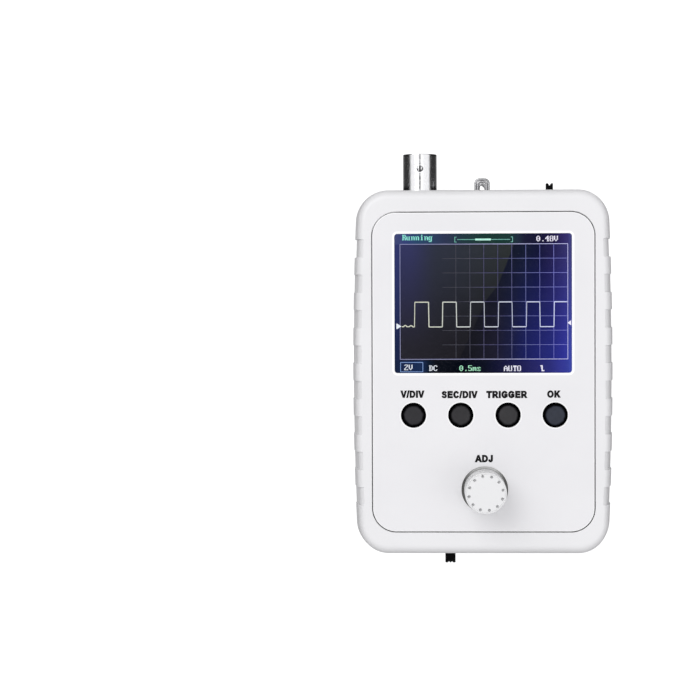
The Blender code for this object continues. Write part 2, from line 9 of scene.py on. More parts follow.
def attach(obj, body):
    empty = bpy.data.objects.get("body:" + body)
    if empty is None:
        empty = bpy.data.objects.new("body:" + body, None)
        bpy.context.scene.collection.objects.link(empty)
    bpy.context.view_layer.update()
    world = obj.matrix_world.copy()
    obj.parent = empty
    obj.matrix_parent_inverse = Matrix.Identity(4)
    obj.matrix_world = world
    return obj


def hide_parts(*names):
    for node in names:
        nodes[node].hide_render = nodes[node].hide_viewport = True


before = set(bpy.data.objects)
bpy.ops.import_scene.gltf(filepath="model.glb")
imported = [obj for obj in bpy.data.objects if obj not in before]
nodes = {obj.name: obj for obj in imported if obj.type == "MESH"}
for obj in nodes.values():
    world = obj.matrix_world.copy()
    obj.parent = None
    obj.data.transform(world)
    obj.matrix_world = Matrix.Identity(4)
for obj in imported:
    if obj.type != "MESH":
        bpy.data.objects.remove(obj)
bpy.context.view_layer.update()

MM = 0.001

# The same driving sizes as the part's source, in millimetres.
CASE_T, END_Y, SIDE_X, SIDE_BULGE, CORNER_R, EDGE_R = 22.0, 53.4, 38.3, 0.87, 9.6, 3.0
SIDE_CROWN, END_CROWN = 0.85, 0.25
PANEL_X, PANEL_Y, PANEL_R = 32.55, 46.8, 7.15
LEDGE_X, LEDGE_Y, LEDGE_R = 31.0, 45.25, 5.6
WALL_X, WALL_Y, WALL_R = 34.3, 50.55, 7.6
FRONT_SEAT_Z, REAR_SEAT_Z, LEDGE_T = 19.9, 2.3, 2.0
GRIP_COUNT, GRIP_PITCH, GRIP_LEN, GRIP_DEPTH, GRIP_MID_DEPTH = 8, 10.37, 5.2, 0.5, 0.2
GAP, PANEL_T = 0.3, 1.8
WINDOW_W, WINDOW_H, WINDOW_R, WINDOW_CX, WINDOW_CY = 51.6, 40.45, 0.9, -0.05, 20.0
LENS_W, LENS_H = 53.4, 42.0
BUTTON_X, BUTTON_Y = (-20.38, -6.61, 7.16, 20.85), -12.5
BUTTON_NAMES = ("vdiv", "secdiv", "trigger", "ok")
BUTTON_R, BUTTON_HOLE_R, BUTTON_TOP = 3.36, 3.66, 22.7
KNOB_X, KNOB_Y, KNOB_HOLE_R = 0.35, -34.25, 6.7
BNC_X, BNC_Z, BNC_R, BNC_BORE_R, BNC_END_Y, BNC_LUG_Y = -18.35, 11.0, 4.95, 4.07, 64.0, 59.6
TERMINAL_X, TERMINAL_Z = 0.05, 9.0
COUPLING_X, POWER_X, POWER_STEP, SWITCH_Z = 19.95, -9.55, 2.0, 9.0
JACK_X, JACK_Z = 18.0, 11.0
LUG_X, LUG_Y = 27.8, 41.2
POST_X, POST_R, POST_YS, POST_Z0 = 27.8, 2.6, (-4.6, -40.6), 14.4


# ------------------------------------------------------------------ materials
class Nodes:
    """A short way to wire a Principled material."""

    def __init__(self, name, rgb=None, rough=0.4, metal=0.0, **sockets):
        self.mat = bpy.data.materials.new(name)
        self.mat.use_nodes = True
        self.tree = self.mat.node_tree
        self.bsdf = self.tree.nodes["Principled BSDF"]
        if rgb is not None:
            self.bsdf.inputs["Base Color"].default_value = (*rgb, 1.0)
        self.bsdf.inputs["Roughness"].default_value = rough
        self.bsdf.inputs["Metallic"].default_value = metal
        for key, value in sockets.items():
            self.bsdf.inputs[key.replace("_", " ")].default_value = value
        self.coord = self.tree.nodes.new("ShaderNodeTexCoord").outputs["Object"]

    def link(self, out, into):
        self.tree.links.new(out, into)

    def scaled(self, sx, sy, sz):
        node = self.tree.nodes.new("ShaderNodeMapping")
        node.inputs["Scale"].default_value = (sx, sy, sz)
        self.link(self.coord, node.inputs["Vector"])
        return node.outputs["Vector"]

    def noise(self, scale, detail=3.0, rough=0.55, vector=None, distortion=0.0):
        node = self.tree.nodes.new("ShaderNodeTexNoise")
        node.inputs["Scale"].default_value = scale
        node.inputs["Detail"].default_value = detail
        node.inputs["Roughness"].default_value = rough
        node.inputs["Distortion"].default_value = distortion
        self.link(vector or self.coord, node.inputs["Vector"])
        return node.outputs["Fac"]

    def voronoi(self, scale, vector=None):
        node = self.tree.nodes.new("ShaderNodeTexVoronoi")
        node.inputs["Scale"].default_value = scale
        self.link(vector or self.coord, node.inputs["Vector"])
        return node.outputs["Distance"]

    def ramp(self, fac, stops):
        node = self.tree.nodes.new("ShaderNodeValToRGB")
        while len(node.color_ramp.elements) < len(stops):
            node.color_ramp.elements.new(0.5)
        for element, (pos, rgb) in zip(node.color_ramp.elements, stops):
            element.position = pos
            element.color = (*rgb, 1.0)
        self.link(fac, node.inputs["Fac"])
        return node.outputs["Color"]

    def span(self, fac, a0, a1, b0, b1, smooth=False):
        node = self.tree.nodes.new("ShaderNodeMapRange")
        if smooth:
            node.interpolation_type = "SMOOTHSTEP"
        for key, value in zip(("From Min", "From Max", "To Min", "To Max"), (a0, a1, b0, b1)):
            node.inputs[key].default_value = value
        self.link(fac, node.inputs["Value"])
        return node.outputs["Result"]

    def mix(self, fac, a, b, blend="MIX"):
        node = self.tree.nodes.new("ShaderNodeMix")
        node.data_type = "RGBA"
        node.blend_type = blend
        for value, socket in ((fac, node.inputs[0]), (a, node.inputs[6]), (b, node.inputs[7])):
            if isinstance(value, bpy.types.NodeSocket):
                self.link(value, socket)
            elif isinstance(value, (int, float)):
                socket.default_value = value
            else:
                socket.default_value = (*value, 1.0)
        return node.outputs[2]

    def math(self, how, a, b=None):
        node = self.tree.nodes.new("ShaderNodeMath")
        node.operation = how
        for i, value in enumerate((a, b)):
            if value is None:
                continue
            if isinstance(value, bpy.types.NodeSocket):
                self.link(value, node.inputs[i])
            else:
                node.inputs[i].default_value = value
        return node.outputs[0]

    def xyz(self):
        node = self.tree.nodes.new("ShaderNodeSeparateXYZ")
        self.link(self.coord, node.inputs[0])
        return node.outputs

    def base(self, colour):
        self.link(colour, self.bsdf.inputs["Base Color"])

    def roughness(self, value):
        self.link(value, self.bsdf.inputs["Roughness"])

    def bump(self, height, distance, strength=1.0, onto=None):
        node = self.tree.nodes.new("ShaderNodeBump")
        node.inputs["Distance"].default_value = distance
        node.inputs["Strength"].default_value = strength
        self.link(height, node.inputs["Height"])
        if onto is not None:
            self.link(onto, node.inputs["Normal"])
        self.link(node.outputs["Normal"], self.bsdf.inputs["Normal"])
        return node.outputs["Normal"]

    def glow(self, colour, strength=1.0):
        self.bsdf.inputs["Emission Strength"].default_value = strength
        if isinstance(colour, bpy.types.NodeSocket):
            self.link(colour, self.bsdf.inputs["Emission Color"])
        else:
            self.bsdf.inputs["Emission Color"].default_value = (*colour, 1.0)


def moulded(name, light, dark, rough, grain=2600.0, depth=0.000012, swing=0.07, **sockets):
    """Moulded plastic: faint flow mottling, a fine spark-eroded grain and a slow change of gloss."""
    m = Nodes(name, rough=rough, **sockets)
    flow = m.noise(42.0, 3.0, 0.5, distortion=0.4)
    m.base(m.mix(m.span(flow, 0.35, 0.65, 0.0, 1.0), light, dark))
    fine = m.noise(grain, 4.0, 0.6)
    slow = m.noise(95.0, 2.0, 0.5)
    m.roughness(m.math("ADD", m.span(slow, 0.3, 0.7, rough - swing / 2, rough + swing / 2), m.span(fine, 0.3, 0.7, -0.03, 0.03)))
    m.bump(fine, depth)
    return m.mat


def turned_metal(name, rgb, rough, along, grain=1.0, depth=0.0000025, tint=None):
    """Turned or drawn metal: fine marks that run round the named axis, with a few specks."""
    m = Nodes(name, rough=rough, metal=1.0)
    scale = {"x": (9000, 260, 260), "y": (260, 9000, 260), "z": (260, 260, 9000), "none": (1800, 1800, 1800)}[along]
    marks = m.noise(grain, 3.0, 0.65, m.scaled(*scale))
    specks = m.noise(3800.0, 2.0, 0.5)
    m.base(m.mix(m.span(marks, 0.3, 0.7, 0.0, 1.0), rgb, tint or tuple(c * 0.86 for c in rgb)))
    m.roughness(m.math("ADD", m.span(marks, 0.3, 0.7, rough * 0.7, rough * 1.3), m.span(specks, 0.55, 0.8, 0.0, 0.06)))
    first = m.bump(marks, depth)
    m.bump(specks, depth * 1.4, 1.0, first)
    return m.mat


CASE = moulded("case_white_moulded", (0.80, 0.797, 0.807), (0.78, 0.777, 0.787), 0.36)


def panel_material():
    """The case's plastic, painted whiter below its flat face as a highlight on the rounded edges of the mould."""
    m = Nodes("panel_white_moulded", rough=0.33)
    flow = m.noise(42.0, 3.0, 0.5, distortion=0.4)
    body = m.mix(m.span(flow, 0.35, 0.65, 0.0, 1.0), (0.80, 0.795, 0.808), (0.78, 0.775, 0.79))
    x, y, z = m.xyz()
    # painted highlight: pure white wherever the surface lies below the flat front face
    body = m.mix(m.span(z, 0.0219985, 0.021992, 0.0, 1.0), body, (1.0, 1.0, 1.0))
    # painted shade in the step round the knob, darkest at its two sides
    beside = m.span(m.math("ABSOLUTE", m.math("SUBTRACT", x, KNOB_X * MM)), 0.0030, 0.0058, 0.0, 0.86)
    sunk = m.math("MULTIPLY", m.span(z, 0.02160, 0.02135, 0.0, 1.0), m.span(y, -0.0260, -0.0265, 0.0, 1.0))
    m.base(m.mix(sunk, body, m.mix(beside, (0.62, 0.62, 0.61), (0.035, 0.034, 0.031))))
    # a painted glow on the panel's flank makes the joint line paler round its upper left corner
    corner = m.math("MULTIPLY", m.span(y, 0.0405, 0.0427, 0.0, 0.26, True), m.span(x, -0.0245, -0.0262, 0.0, 1.0, True))
    flank = m.math("MULTIPLY", corner, m.span(z, 0.02185, 0.0216, 0.0, 1.0))
    m.glow(m.mix(flank, (0.0, 0.0, 0.0), (1.0, 0.99, 1.0)))
    fine = m.noise(3000.0, 4.0, 0.6)
    m.roughness(m.math("ADD", m.span(m.noise(95.0, 2.0), 0.3, 0.7, 0.3, 0.37), m.span(fine, 0.3, 0.7, -0.03, 0.03)))
    m.bump(fine, 0.000008)
    return m.mat


PANEL = panel_material()
KNOB = moulded("knob_white_moulded", (0.80, 0.80, 0.803), (0.78, 0.78, 0.785), 0.3, grain=3400.0, depth=0.000006)
BUTTON = moulded("button_black_rubbery", (0.012, 0.012, 0.015), (0.017, 0.017, 0.021), 0.42, grain=2400.0, depth=0.00002)


def key_material(name, middle):
    """A dull black key, painted darker towards the rim of its top as shade, so its middle looks a little paler."""
    m = Nodes(name, rough=0.5)
    m.bsdf.inputs["Specular IOR Level"].default_value = 0.22
    generated = m.tree.nodes.new("ShaderNodeTexCoord").outputs["Generated"]
    offset = m.tree.nodes.new("ShaderNodeVectorMath")
    offset.operation = "DISTANCE"
    flat = m.tree.nodes.new("ShaderNodeVectorMath")
    flat.operation = "MULTIPLY"
    flat.inputs[1].default_value = (8.6, 8.6, 0.0)
    m.link(generated, flat.inputs[0])
    m.link(flat.outputs[0], offset.inputs[0])
    offset.inputs[1].default_value = (4.3, 4.3, 0.0)
    grain = m.noise(2400.0, 4.0, 0.6)
    ragged = m.math("ADD", offset.outputs["Value"], m.span(m.noise(900.0, 3.0), 0.3, 0.7, -0.15, 0.15))
    # painted shade: near black towards the rim of the top, where the gloss is also turned down
    m.base(m.mix(m.span(ragged, 2.35, 3.0, 0.0, 1.0, True), m.mix(m.span(m.noise(500.0, 3.0), 0.3, 0.7, 0.0, 1.0), middle, tuple(c * 0.75 for c in middle)), (0.0012, 0.0012, 0.0015)))
    m.roughness(m.span(grain, 0.3, 0.7, 0.45, 0.58))
    m.link(m.span(ragged, 2.2, 3.0, 0.3, 0.0, True), m.bsdf.inputs["Specular IOR Level"])
    m.bump(m.noise(1500.0, 4.0, 0.65), 0.00006)
    return m.mat


KEYS = {
    "vdiv": key_material("key_black_a", (0.019, 0.0185, 0.0225)), "secdiv": key_material("key_black_b", (0.022, 0.021, 0.024)),
    "trigger": key_material("key_black_c", (0.029, 0.028, 0.031)), "ok": key_material("key_black_d", (0.024, 0.029, 0.045)),
}
SWITCH = moulded("switch_black_nylon", (0.002, 0.002, 0.0022), (0.004, 0.004, 0.0042), 0.55, grain=1900.0, depth=0.00002, Specular_IOR_Level=0.045)
CHIP = moulded("chip_epoxy", (0.018, 0.018, 0.02), (0.028, 0.028, 0.03), 0.55, grain=3200.0, depth=0.00001)
PTFE = moulded("ptfe_turned", (0.83, 0.83, 0.80), (0.78, 0.78, 0.75), 0.45, grain=1500.0, depth=0.00001)
FOAM = moulded("foam_open_cell", (0.05, 0.05, 0.058), (0.09, 0.09, 0.1), 0.95, grain=900.0, depth=0.00025)
CHROME = turned_metal("nickel_turned", (0.97, 0.97, 0.975), 0.11, "y", depth=0.000009)
CHROME_Z = turned_metal("nickel_plate", (0.74, 0.74, 0.75), 0.16, "none")
WIRE = turned_metal("tinned_wire", (0.46, 0.46, 0.47), 0.24, "none", depth=0.00003)
STEEL = turned_metal("steel_rolled", (0.55, 0.55, 0.57), 0.3, "x")
SCREW = turned_metal("steel_screw", (0.60, 0.60, 0.62), 0.24, "none", depth=0.000003)
BRASS = turned_metal("brass_turned", (0.80, 0.60, 0.26), 0.2, "y")
BRASS_Z = turned_metal("brass_bush", (0.78, 0.58, 0.25), 0.22, "z")


def board_material():
    """Solder mask over copper pours, with tracks and vias showing through."""
    m = Nodes("solder_mask", rough=0.35, Coat_Weight=0.3)
    tracks = m.tree.nodes.new("ShaderNodeTexBrick")
    tracks.inputs["Scale"].default_value = 260.0
    tracks.inputs["Mortar Size"].default_value = 0.06
    tracks.inputs["Color1"].default_value = (0.012, 0.10, 0.045, 1)
    tracks.inputs["Color2"].default_value = (0.016, 0.125, 0.055, 1)
    tracks.inputs["Mortar"].default_value = (0.03, 0.22, 0.09, 1)
    m.link(m.coord, tracks.inputs["Vector"])
    vias = m.span(m.voronoi(430.0), 0.07, 0.1, 1.0, 0.0)
    m.base(m.mix(vias, tracks.outputs["Color"], (0.45, 0.40, 0.18)))
    m.roughness(m.span(m.noise(700.0), 0.3, 0.7, 0.28, 0.42))
    m.bump(tracks.outputs["Fac"], 0.00003)
    return m.mat


def ribbon_material():
    m = Nodes("ribbon_film", rough=0.3, Coat_Weight=0.4)
    wave = m.tree.nodes.new("ShaderNodeTexWave")
    wave.inputs["Scale"].default_value = 900.0
    m.link(m.coord, wave.inputs["Vector"])
    m.base(m.mix(wave.outputs["Fac"], (0.50, 0.20, 0.035), (0.66, 0.36, 0.09)))
    m.bump(wave.outputs["Fac"], 0.00002)
    return m.mat


def lens_material():
    """Clear acrylic with the faintest waviness and a trace of dust in its gloss."""
    m = Nodes("clear_acrylic", (1.0, 1.0, 1.0), 0.0, Transmission_Weight=1.0, IOR=1.34)
    dust = m.noise(1600.0, 5.0, 0.7)
    m.roughness(m.span(dust, 0.62, 0.8, 0.0, 0.05))
    m.bump(m.noise(38.0, 1.0), 0.000002)
    return m.mat


def lin(*srgb):
    """Display values 0-255 as linear light."""
    return tuple(((v / 255 + 0.055) / 1.055) ** 2.4 if v > 10 else v / 255 / 12.92 for v in srgb)


def screen_material():
    """The panel's own light, blue where the backlight leaks at the right, with a painted grey reflection over its left
    part.
    """
    m = Nodes("display_cell", (0.003, 0.003, 0.004), 0.3)
    m.bsdf.inputs["Specular IOR Level"].default_value = 0.0
    x, y, _z = m.xyz()
    up = m.span(y, 0.006, 0.035, 0.0, 1.0)
    across = m.span(x, -0.0222, 0.0247, 0.0, 1.0)
    foot = m.ramp(across, [
        (0.0, lin(12, 12, 18)), (0.42, lin(24, 24, 32)), (0.55, lin(29, 28, 45)), (0.65, lin(27, 30, 66)), (0.73, lin(27, 32, 92)),
        (0.82, lin(34, 38, 110)), (0.90, lin(38, 43, 124)), (0.97, lin(48, 51, 150)), (1.0, lin(56, 60, 158)),
    ])
    head = m.ramp(across, [
        (0.0, lin(20, 22, 40)), (0.42, lin(16, 20, 28)), (0.55, lin(18, 23, 33)), (0.65, lin(20, 25, 42)), (0.73, lin(20, 26, 49)),
        (0.82, lin(20, 22, 56)), (0.90, lin(36, 32, 78)), (0.97, lin(50, 47, 104)), (1.0, lin(56, 52, 112)),
    ])
    clear = m.mix(up, foot, head)
    # painted reflection: a grey haze over the left part of the panel, bounded by a slanting edge
    west = m.span(x, -0.0225, 0.002, 0.0, 1.0)
    high = m.math("POWER", up, 1.35)
    painted_reflection = m.mix(high, m.mix(west, lin(39, 38, 46), lin(26, 25, 28)), m.mix(m.span(x, -0.0225, -0.013, 0.0, 1.0, True), lin(53, 55, 95), m.mix(m.span(x, -0.015, 0.007, 0.0, 1.0), lin(48, 52, 67), lin(46, 50, 51))))
    edge = m.math("ADD", m.span(y, -0.0003, 0.02094, -0.00877, 0.00084), m.math("ADD", m.span(y, 0.02094, 0.02529, 0.0, 0.00351), m.span(y, 0.02529, 0.0402, 0.0, 0.0058)))
    side = m.span(m.math("SUBTRACT", x, edge), -0.00022, 0.00022, 1.0, 0.0, True)
    body = m.mix(side, clear, painted_reflection)
    left = m.span(x, -0.0242, -0.0246, 0.0, 1.0, True)
    body = m.mix(left, body, m.mix(up, lin(28, 38, 74), lin(50, 56, 108)))
    top = m.span(y, 0.0371, 0.0375, 0.0, 1.0, True)
    bar = m.ramp(m.span(x, -0.0252, 0.0258, 0.0, 1.0), [
        (0.0, lin(66, 74, 120)), (0.05, lin(56, 68, 122)), (0.12, lin(46, 74, 108)), (0.28, lin(48, 56, 84)), (0.38, lin(36, 58, 66)),
        (0.50, lin(29, 58, 52)), (0.65, lin(30, 57, 54)), (0.69, lin(34, 48, 64)), (0.73, lin(28, 29, 54)), (0.82, lin(22, 20, 50)),
        (0.90, lin(34, 28, 70)), (0.95, lin(50, 42, 100)), (1.0, lin(62, 56, 120)),
    ])
    body = m.mix(top, body, bar)
    below = m.span(y, 0.0036, 0.0032, 0.0, 1.0, True)
    strip = m.ramp(m.span(x, -0.0252, 0.0258, 0.0, 1.0), [
        (0.0, lin(24, 36, 66)), (0.04, lin(30, 44, 80)), (0.14, lin(26, 46, 84)), (0.18, lin(12, 26, 46)), (0.22, lin(14, 17, 26)),
        (0.36, lin(6, 10, 20)), (0.50, lin(12, 16, 32)), (0.60, lin(22, 23, 56)), (0.70, lin(30, 30, 80)), (0.80, lin(40, 40, 104)),
        (0.88, lin(46, 48, 124)), (0.95, lin(54, 58, 152)), (1.0, lin(58, 70, 160)),
    ])
    body = m.mix(below, body, strip)
    right = m.span(x, 0.02475, 0.0251, 0.0, 1.0, True)
    body = m.mix(right, body, m.mix(up, lin(62, 72, 168), lin(66, 66, 126)))
    # columns of the panel's own cells, too fine to see except as a faint weave
    cells = m.tree.nodes.new("ShaderNodeTexWave")
    cells.inputs["Scale"].default_value = 980.0
    m.link(m.coord, cells.inputs["Vector"])
    body = m.mix(0.06, body, m.mix(cells.outputs["Fac"], body, (0.0, 0.0, 0.0)))
    m.glow(body, 1.0)
    m.roughness(m.span(m.noise(1200.0), 0.3, 0.7, 0.25, 0.35))
    return m.mat


def glowing(name, left, right, x0=-0.0245, x1=0.0247, strength=1.0, flicker=0.16):
    """Lit cells whose colour runs from left to right, with slight unevenness."""
    m = Nodes(name, (0.01, 0.01, 0.01), 0.3)
    x, _y, _z = m.xyz()
    colour = m.mix(m.span(x, x0, x1, 0.0, 1.0, True), left, right)
    uneven = m.span(m.noise(900.0, 2.0), 0.3, 0.7, 1.0 - flicker, 1.0)
    node = m.tree.nodes.new("ShaderNodeVectorMath")
    node.operation = "SCALE"
    m.link(colour, node.inputs[0])
    m.link(uneven, node.inputs["Scale"])
    m.glow(node.outputs[0], strength)
    return m.mat


def ink_material():
    """Pad-printed ink: black, a little thin in places."""
    m = Nodes("printed_ink", rough=0.55)
    m.bsdf.inputs["Specular IOR Level"].default_value = 0.15
    m.base(m.mix(m.span(m.noise(1400.0, 4.0, 0.7), 0.45, 0.75, 0.0, 1.0), (0.002, 0.002, 0.0022), (0.008, 0.008, 0.009)))
    m.roughness(m.span(m.noise(600.0), 0.3, 0.7, 0.42, 0.55))
    m.bump(m.noise(2600.0, 3.0), 0.000006)
    return m.mat


BOARD, RIBBON, LENS, SCREEN, INK = board_material(), ribbon_material(), lens_material(), screen_material(), ink_material()

def barrel_material():
    """Bright nickel with a dark seam down two sides, painted shade round each lug and at the foot and end of the
    barrel, and a faint painted highlight glowing along the middle of its top.
    """
    m = Nodes("nickel_barrel", rough=0.12, metal=1.0)
    marks = m.noise(1.0, 3.0, 0.65, m.scaled(2600, 900, 2600))
    specks = m.noise(5200.0, 3.0, 0.6)
    body = m.mix(m.span(marks, 0.3, 0.7, 0.0, 1.0), (0.98, 0.98, 0.985), (0.88, 0.88, 0.89))
    x, y, z = m.xyz()
    dx = m.math("SUBTRACT", x, BNC_X * MM)
    dz = m.math("SUBTRACT", z, BNC_Z * MM)
    dy = m.math("SUBTRACT", y, BNC_LUG_Y * MM)
    across = m.math("ABSOLUTE", dx)
    out = m.math("SQRT", m.math("ADD", m.math("MULTIPLY", dx, dx), m.math("MULTIPLY", dz, dz)))
    sunk = m.math("MULTIPLY", m.span(out, 0.00492, 0.00486, 0.0, 1.0), m.span(out, 0.0043, 0.00436, 0.0, 1.0))
    seam = m.math("MULTIPLY", m.math("MULTIPLY", sunk, m.span(across, 0.00040, 0.00026, 0.0, 1.0)), m.span(m.noise(1500.0, 2.0), 0.35, 0.6, 0.35, 1.0))
    # painted shade: a patchy dark ring round each lug, stronger on its side towards the case
    ring = m.math("SQRT", m.math("ADD", m.math("MULTIPLY", dx, dx), m.math("MULTIPLY", dy, dy)))
    round_lug = m.math("MULTIPLY", m.span(ring, 0.00050, 0.00062, 0.0, 1.0), m.span(ring, 0.00104, 0.00090, 0.0, 1.0))
    round_lug = m.math("MULTIPLY", round_lug, m.span(m.math("ABSOLUTE", dz), 0.0046, 0.0047, 0.0, 1.0))
    lug_ring_shade = m.math("MULTIPLY", round_lug, m.span(m.noise(1150.0, 2.0), 0.36, 0.5, 0.25, 0.95))
    lug_ring_shade = m.math("MULTIPLY", lug_ring_shade, m.span(dy, -0.0001, 0.00045, 1.0, 0.25))
    above = m.math("MULTIPLY", m.span(m.math("ABSOLUTE", dz), 0.0046, 0.0047, 0.0, 1.0), m.span(across, 0.00034, 0.00024, 0.0, 1.0))
    heart = m.math("MULTIPLY", above, m.math("MULTIPLY", m.span(dy, 0.00115, 0.00085, 0.0, 1.0), m.span(dy, -0.00100, -0.00085, 0.0, 1.0)))
    heart = m.math("MULTIPLY", heart, m.span(m.noise(1700.0, 2.0), 0.3, 0.5, 0.5, 1.0))
    # painted shade: dark on the flanks at the barrel's foot by the case and round the rim of its end
    foot = m.math("MAXIMUM", m.span(y, 0.0548, 0.0539, 0.0, 0.9), m.span(y, BNC_END_Y * MM - 0.00075, BNC_END_Y * MM - 0.0004, 0.0, 0.5))
    foot = m.math("MULTIPLY", foot, m.span(across, 0.0030, 0.0034, 0.0, 1.0))
    dark = m.math("MAXIMUM", m.math("MAXIMUM", seam, lug_ring_shade), m.math("MAXIMUM", heart, foot))
    scored = m.math("MULTIPLY", above, m.math("MULTIPLY", m.span(dy, 0.0010, 0.0014, 0.0, 1.0), m.span(m.noise(2600.0, 3.0), 0.38, 0.6, 0.1, 0.62)))
    dark = m.math("MAXIMUM", dark, scored)
    m.base(m.mix(dark, body, (0.07, 0.07, 0.073)))
    # painted highlight: a faint glow along the middle of the barrel's top, left out where it is dark
    m.glow(m.mix(m.math("MULTIPLY", m.span(across, 0.0029, 0.0024, 0.0, 1.0), m.math("SUBTRACT", 1.0, dark)), (0.0, 0.0, 0.0), (0.07, 0.07, 0.07)), 1.0)
    flank = m.math("MULTIPLY", m.span(across, 0.0026, 0.0030, 0.0, 1.0), m.span(m.noise(1.0, 3.0, 0.7, m.scaled(2300, 500, 2300)), 0.42, 0.66, 0.0, 0.16))
    m.roughness(m.math("ADD", m.math("ADD", m.span(marks, 0.3, 0.7, 0.07, 0.14), flank), m.span(specks, 0.5, 0.8, 0.0, 0.1)))
    first = m.bump(marks, 0.000018)
    m.bump(specks, 0.000006, 1.0, first)
    return m.mat


BARREL = barrel_material()
BY_SLOT = {
    "case_white": CASE, "knob_white": KNOB, "button_black": BUTTON, "switch_black": SWITCH, "nickel": CHROME_Z,
    "steel": STEEL, "brass": BRASS_Z, "ptfe": PTFE, "lens": LENS, "screen": SCREEN, "board_green": BOARD,
    "chip_black": CHIP, "foam": FOAM, "ribbon": RIBBON,
}
for node in nodes.values():
    for material_slot in node.material_slots:
        key = material_slot.material.name.split(".")[0] if material_slot.material else ""
        if key in BY_SLOT:
            material_slot.material = BY_SLOT[key]


# -------------------------------------------------------------------- meshes
def rounded(half_x, half_y, radius, steps=10, cx=0.0, cy=0.0):
    points = []
    for quarter in range(4):
        sx = 1 if quarter in (0, 3) else -1
        sy = 1 if quarter in (0, 1) else -1
        for i in range(steps + 1):
            a = math.radians(90 * quarter + 90 * i / steps)
            points.append((cx + sx * (half_x - radius) + radius * math.cos(a), cy + sy * (half_y - radius) + radius * math.sin(a)))
    return points


def circle(radius, n, cx=0.0, cy=0.0, start=0.0):
    return [(cx + radius * math.cos(start + 2 * math.pi * i / n), cy + radius * math.sin(start + 2 * math.pi * i / n)) for i in range(n)]


def make(name, points, faces, mat, loc=(0, 0, 0), rot=None, smooth=30.0, weighted=True):
    """A mesh object from points in millimetres; it ends with its own place in its vertices."""
    mesh = bpy.data.meshes.new(name)
    mesh.from_pydata([tuple(c * MM for c in p) for p in points], [], faces)
    bm = bmesh.new()
    bm.from_mesh(mesh)
    bmesh.ops.recalc_face_normals(bm, faces=bm.faces[:])
    bm.to_mesh(mesh)
    bm.free()
    matrix = Matrix.Translation([c * MM for c in loc])
    if rot is not None:
        matrix = matrix @ rot
    mesh.transform(matrix)
    if mat:
        mesh.materials.append(mat)
    obj = bpy.data.objects.new(name, mesh)
    bpy.context.scene.collection.objects.link(obj)
    if smooth:
        mesh.shade_smooth()
        mesh.set_sharp_from_angle(angle=math.radians(smooth))
        if weighted:
            mod = obj.modifiers.new("normals", "WEIGHTED_NORMAL")
            mod.keep_sharp = True
    return obj


TO_PLUS_Y = Matrix.Rotation(math.radians(-90), 4, "X")
TO_MINUS_Y = Matrix.Rotation(math.radians(90), 4, "X")


def chain(loops, closed=False):
    """Quads between loops that all have the same number of points."""
    points, faces = [], []
    n = len(loops[0])
    for loop in loops:
        points += loop
    count = len(loops)
    for i in range(count if closed else count - 1):
        a, b = i * n, ((i + 1) % count) * n
        for k in range(n):
            m = (k + 1) % n
            faces.append((a + k, a + m, b + m, b + k))
    return points, faces


def lathe(name, profile, n, mat, loc=(0, 0, 0), rot=None, smooth=30.0, shape=None, weighted=True):
    rings, points = [], []
    for index, (r, z) in enumerate(profile):
        if r <= 1e-9:
            rings.append([len(points)])
            points.append((0.0, 0.0, z))
            continue
        ring = []
        for k in range(n):
            a = 2 * math.pi * k / n
            rr, zz = (r, z) if shape is None else shape(index, r, z, a)
            ring.append(len(points))
            points.append((rr * math.cos(a), rr * math.sin(a), zz))
        rings.append(ring)
    faces = []
    count = len(rings)
    closed = len(rings[0]) > 1 and len(rings[-1]) > 1
    for i in range(count if closed else count - 1):
        a, b = rings[i], rings[(i + 1) % count]
        for k in range(n):
            m = (k + 1) % n
            if len(a) == 1:
                faces.append((a[0], b[k], b[m]))
            elif len(b) == 1:
                faces.append((a[k], b[0], a[m]))
            else:
                faces.append((a[k], b[k], b[m], a[m]))
    return make(name, points, faces, mat, loc, rot, smooth, weighted)


def arc(cx, cy, r, a0, a1, steps):
    """Points of a profile's rounded corner, angles in degrees."""
    return [(cx + r * math.cos(math.radians(a0 + (a1 - a0) * i / steps)), cy + r * math.sin(math.radians(a0 + (a1 - a0) * i / steps))) for i in range(steps + 1)]


def extruded(name, outline, z0, z1, mat, holes=(), loc=(0, 0, 0), rot=None, smooth=30.0, bevel=0.0, segments=2):
    loops = [list(outline)] + [list(h) for h in holes]
    flat = [p for loop in loops for p in loop]
    n = len(flat)
    points = [(x, y, z0) for x, y in flat] + [(x, y, z1) for x, y in flat]
    if len(loops) == 1:
        faces = [tuple(reversed(range(n))), tuple(range(n, 2 * n))]
    else:
        tris = tessellate_polygon([[Vector((x, y, 0)) for x, y in loop] for loop in loops])
        faces = [tuple(t) for t in tris] + [tuple(i + n for i in reversed(t)) for t in tris]
    start = 0
    for loop in loops:
        k = len(loop)
        for i in range(k):
            a, b = start + i, start + (i + 1) % k
            faces.append((a, b, b + n, a + n))
        start += k
    obj = make(name, points, faces, mat, loc, rot, smooth, weighted=not bevel)
    if bevel:
        mod = obj.modifiers.new("edges", "BEVEL")
        mod.width = bevel * MM
        mod.segments = segments
        mod.limit_method = "ANGLE"
        mod.angle_limit = math.radians(35)
        mod.harden_normals = False
        mod = obj.modifiers.new("normals", "WEIGHTED_NORMAL")
        mod.keep_sharp = True
    return obj


def box(name, x0, x1, y0, y1, z0, z1, mat=None, bevel=0.0):
    return extruded(name, [(x1, y0), (x1, y1), (x0, y1), (x0, y0)], z0, z1, mat, bevel=bevel)


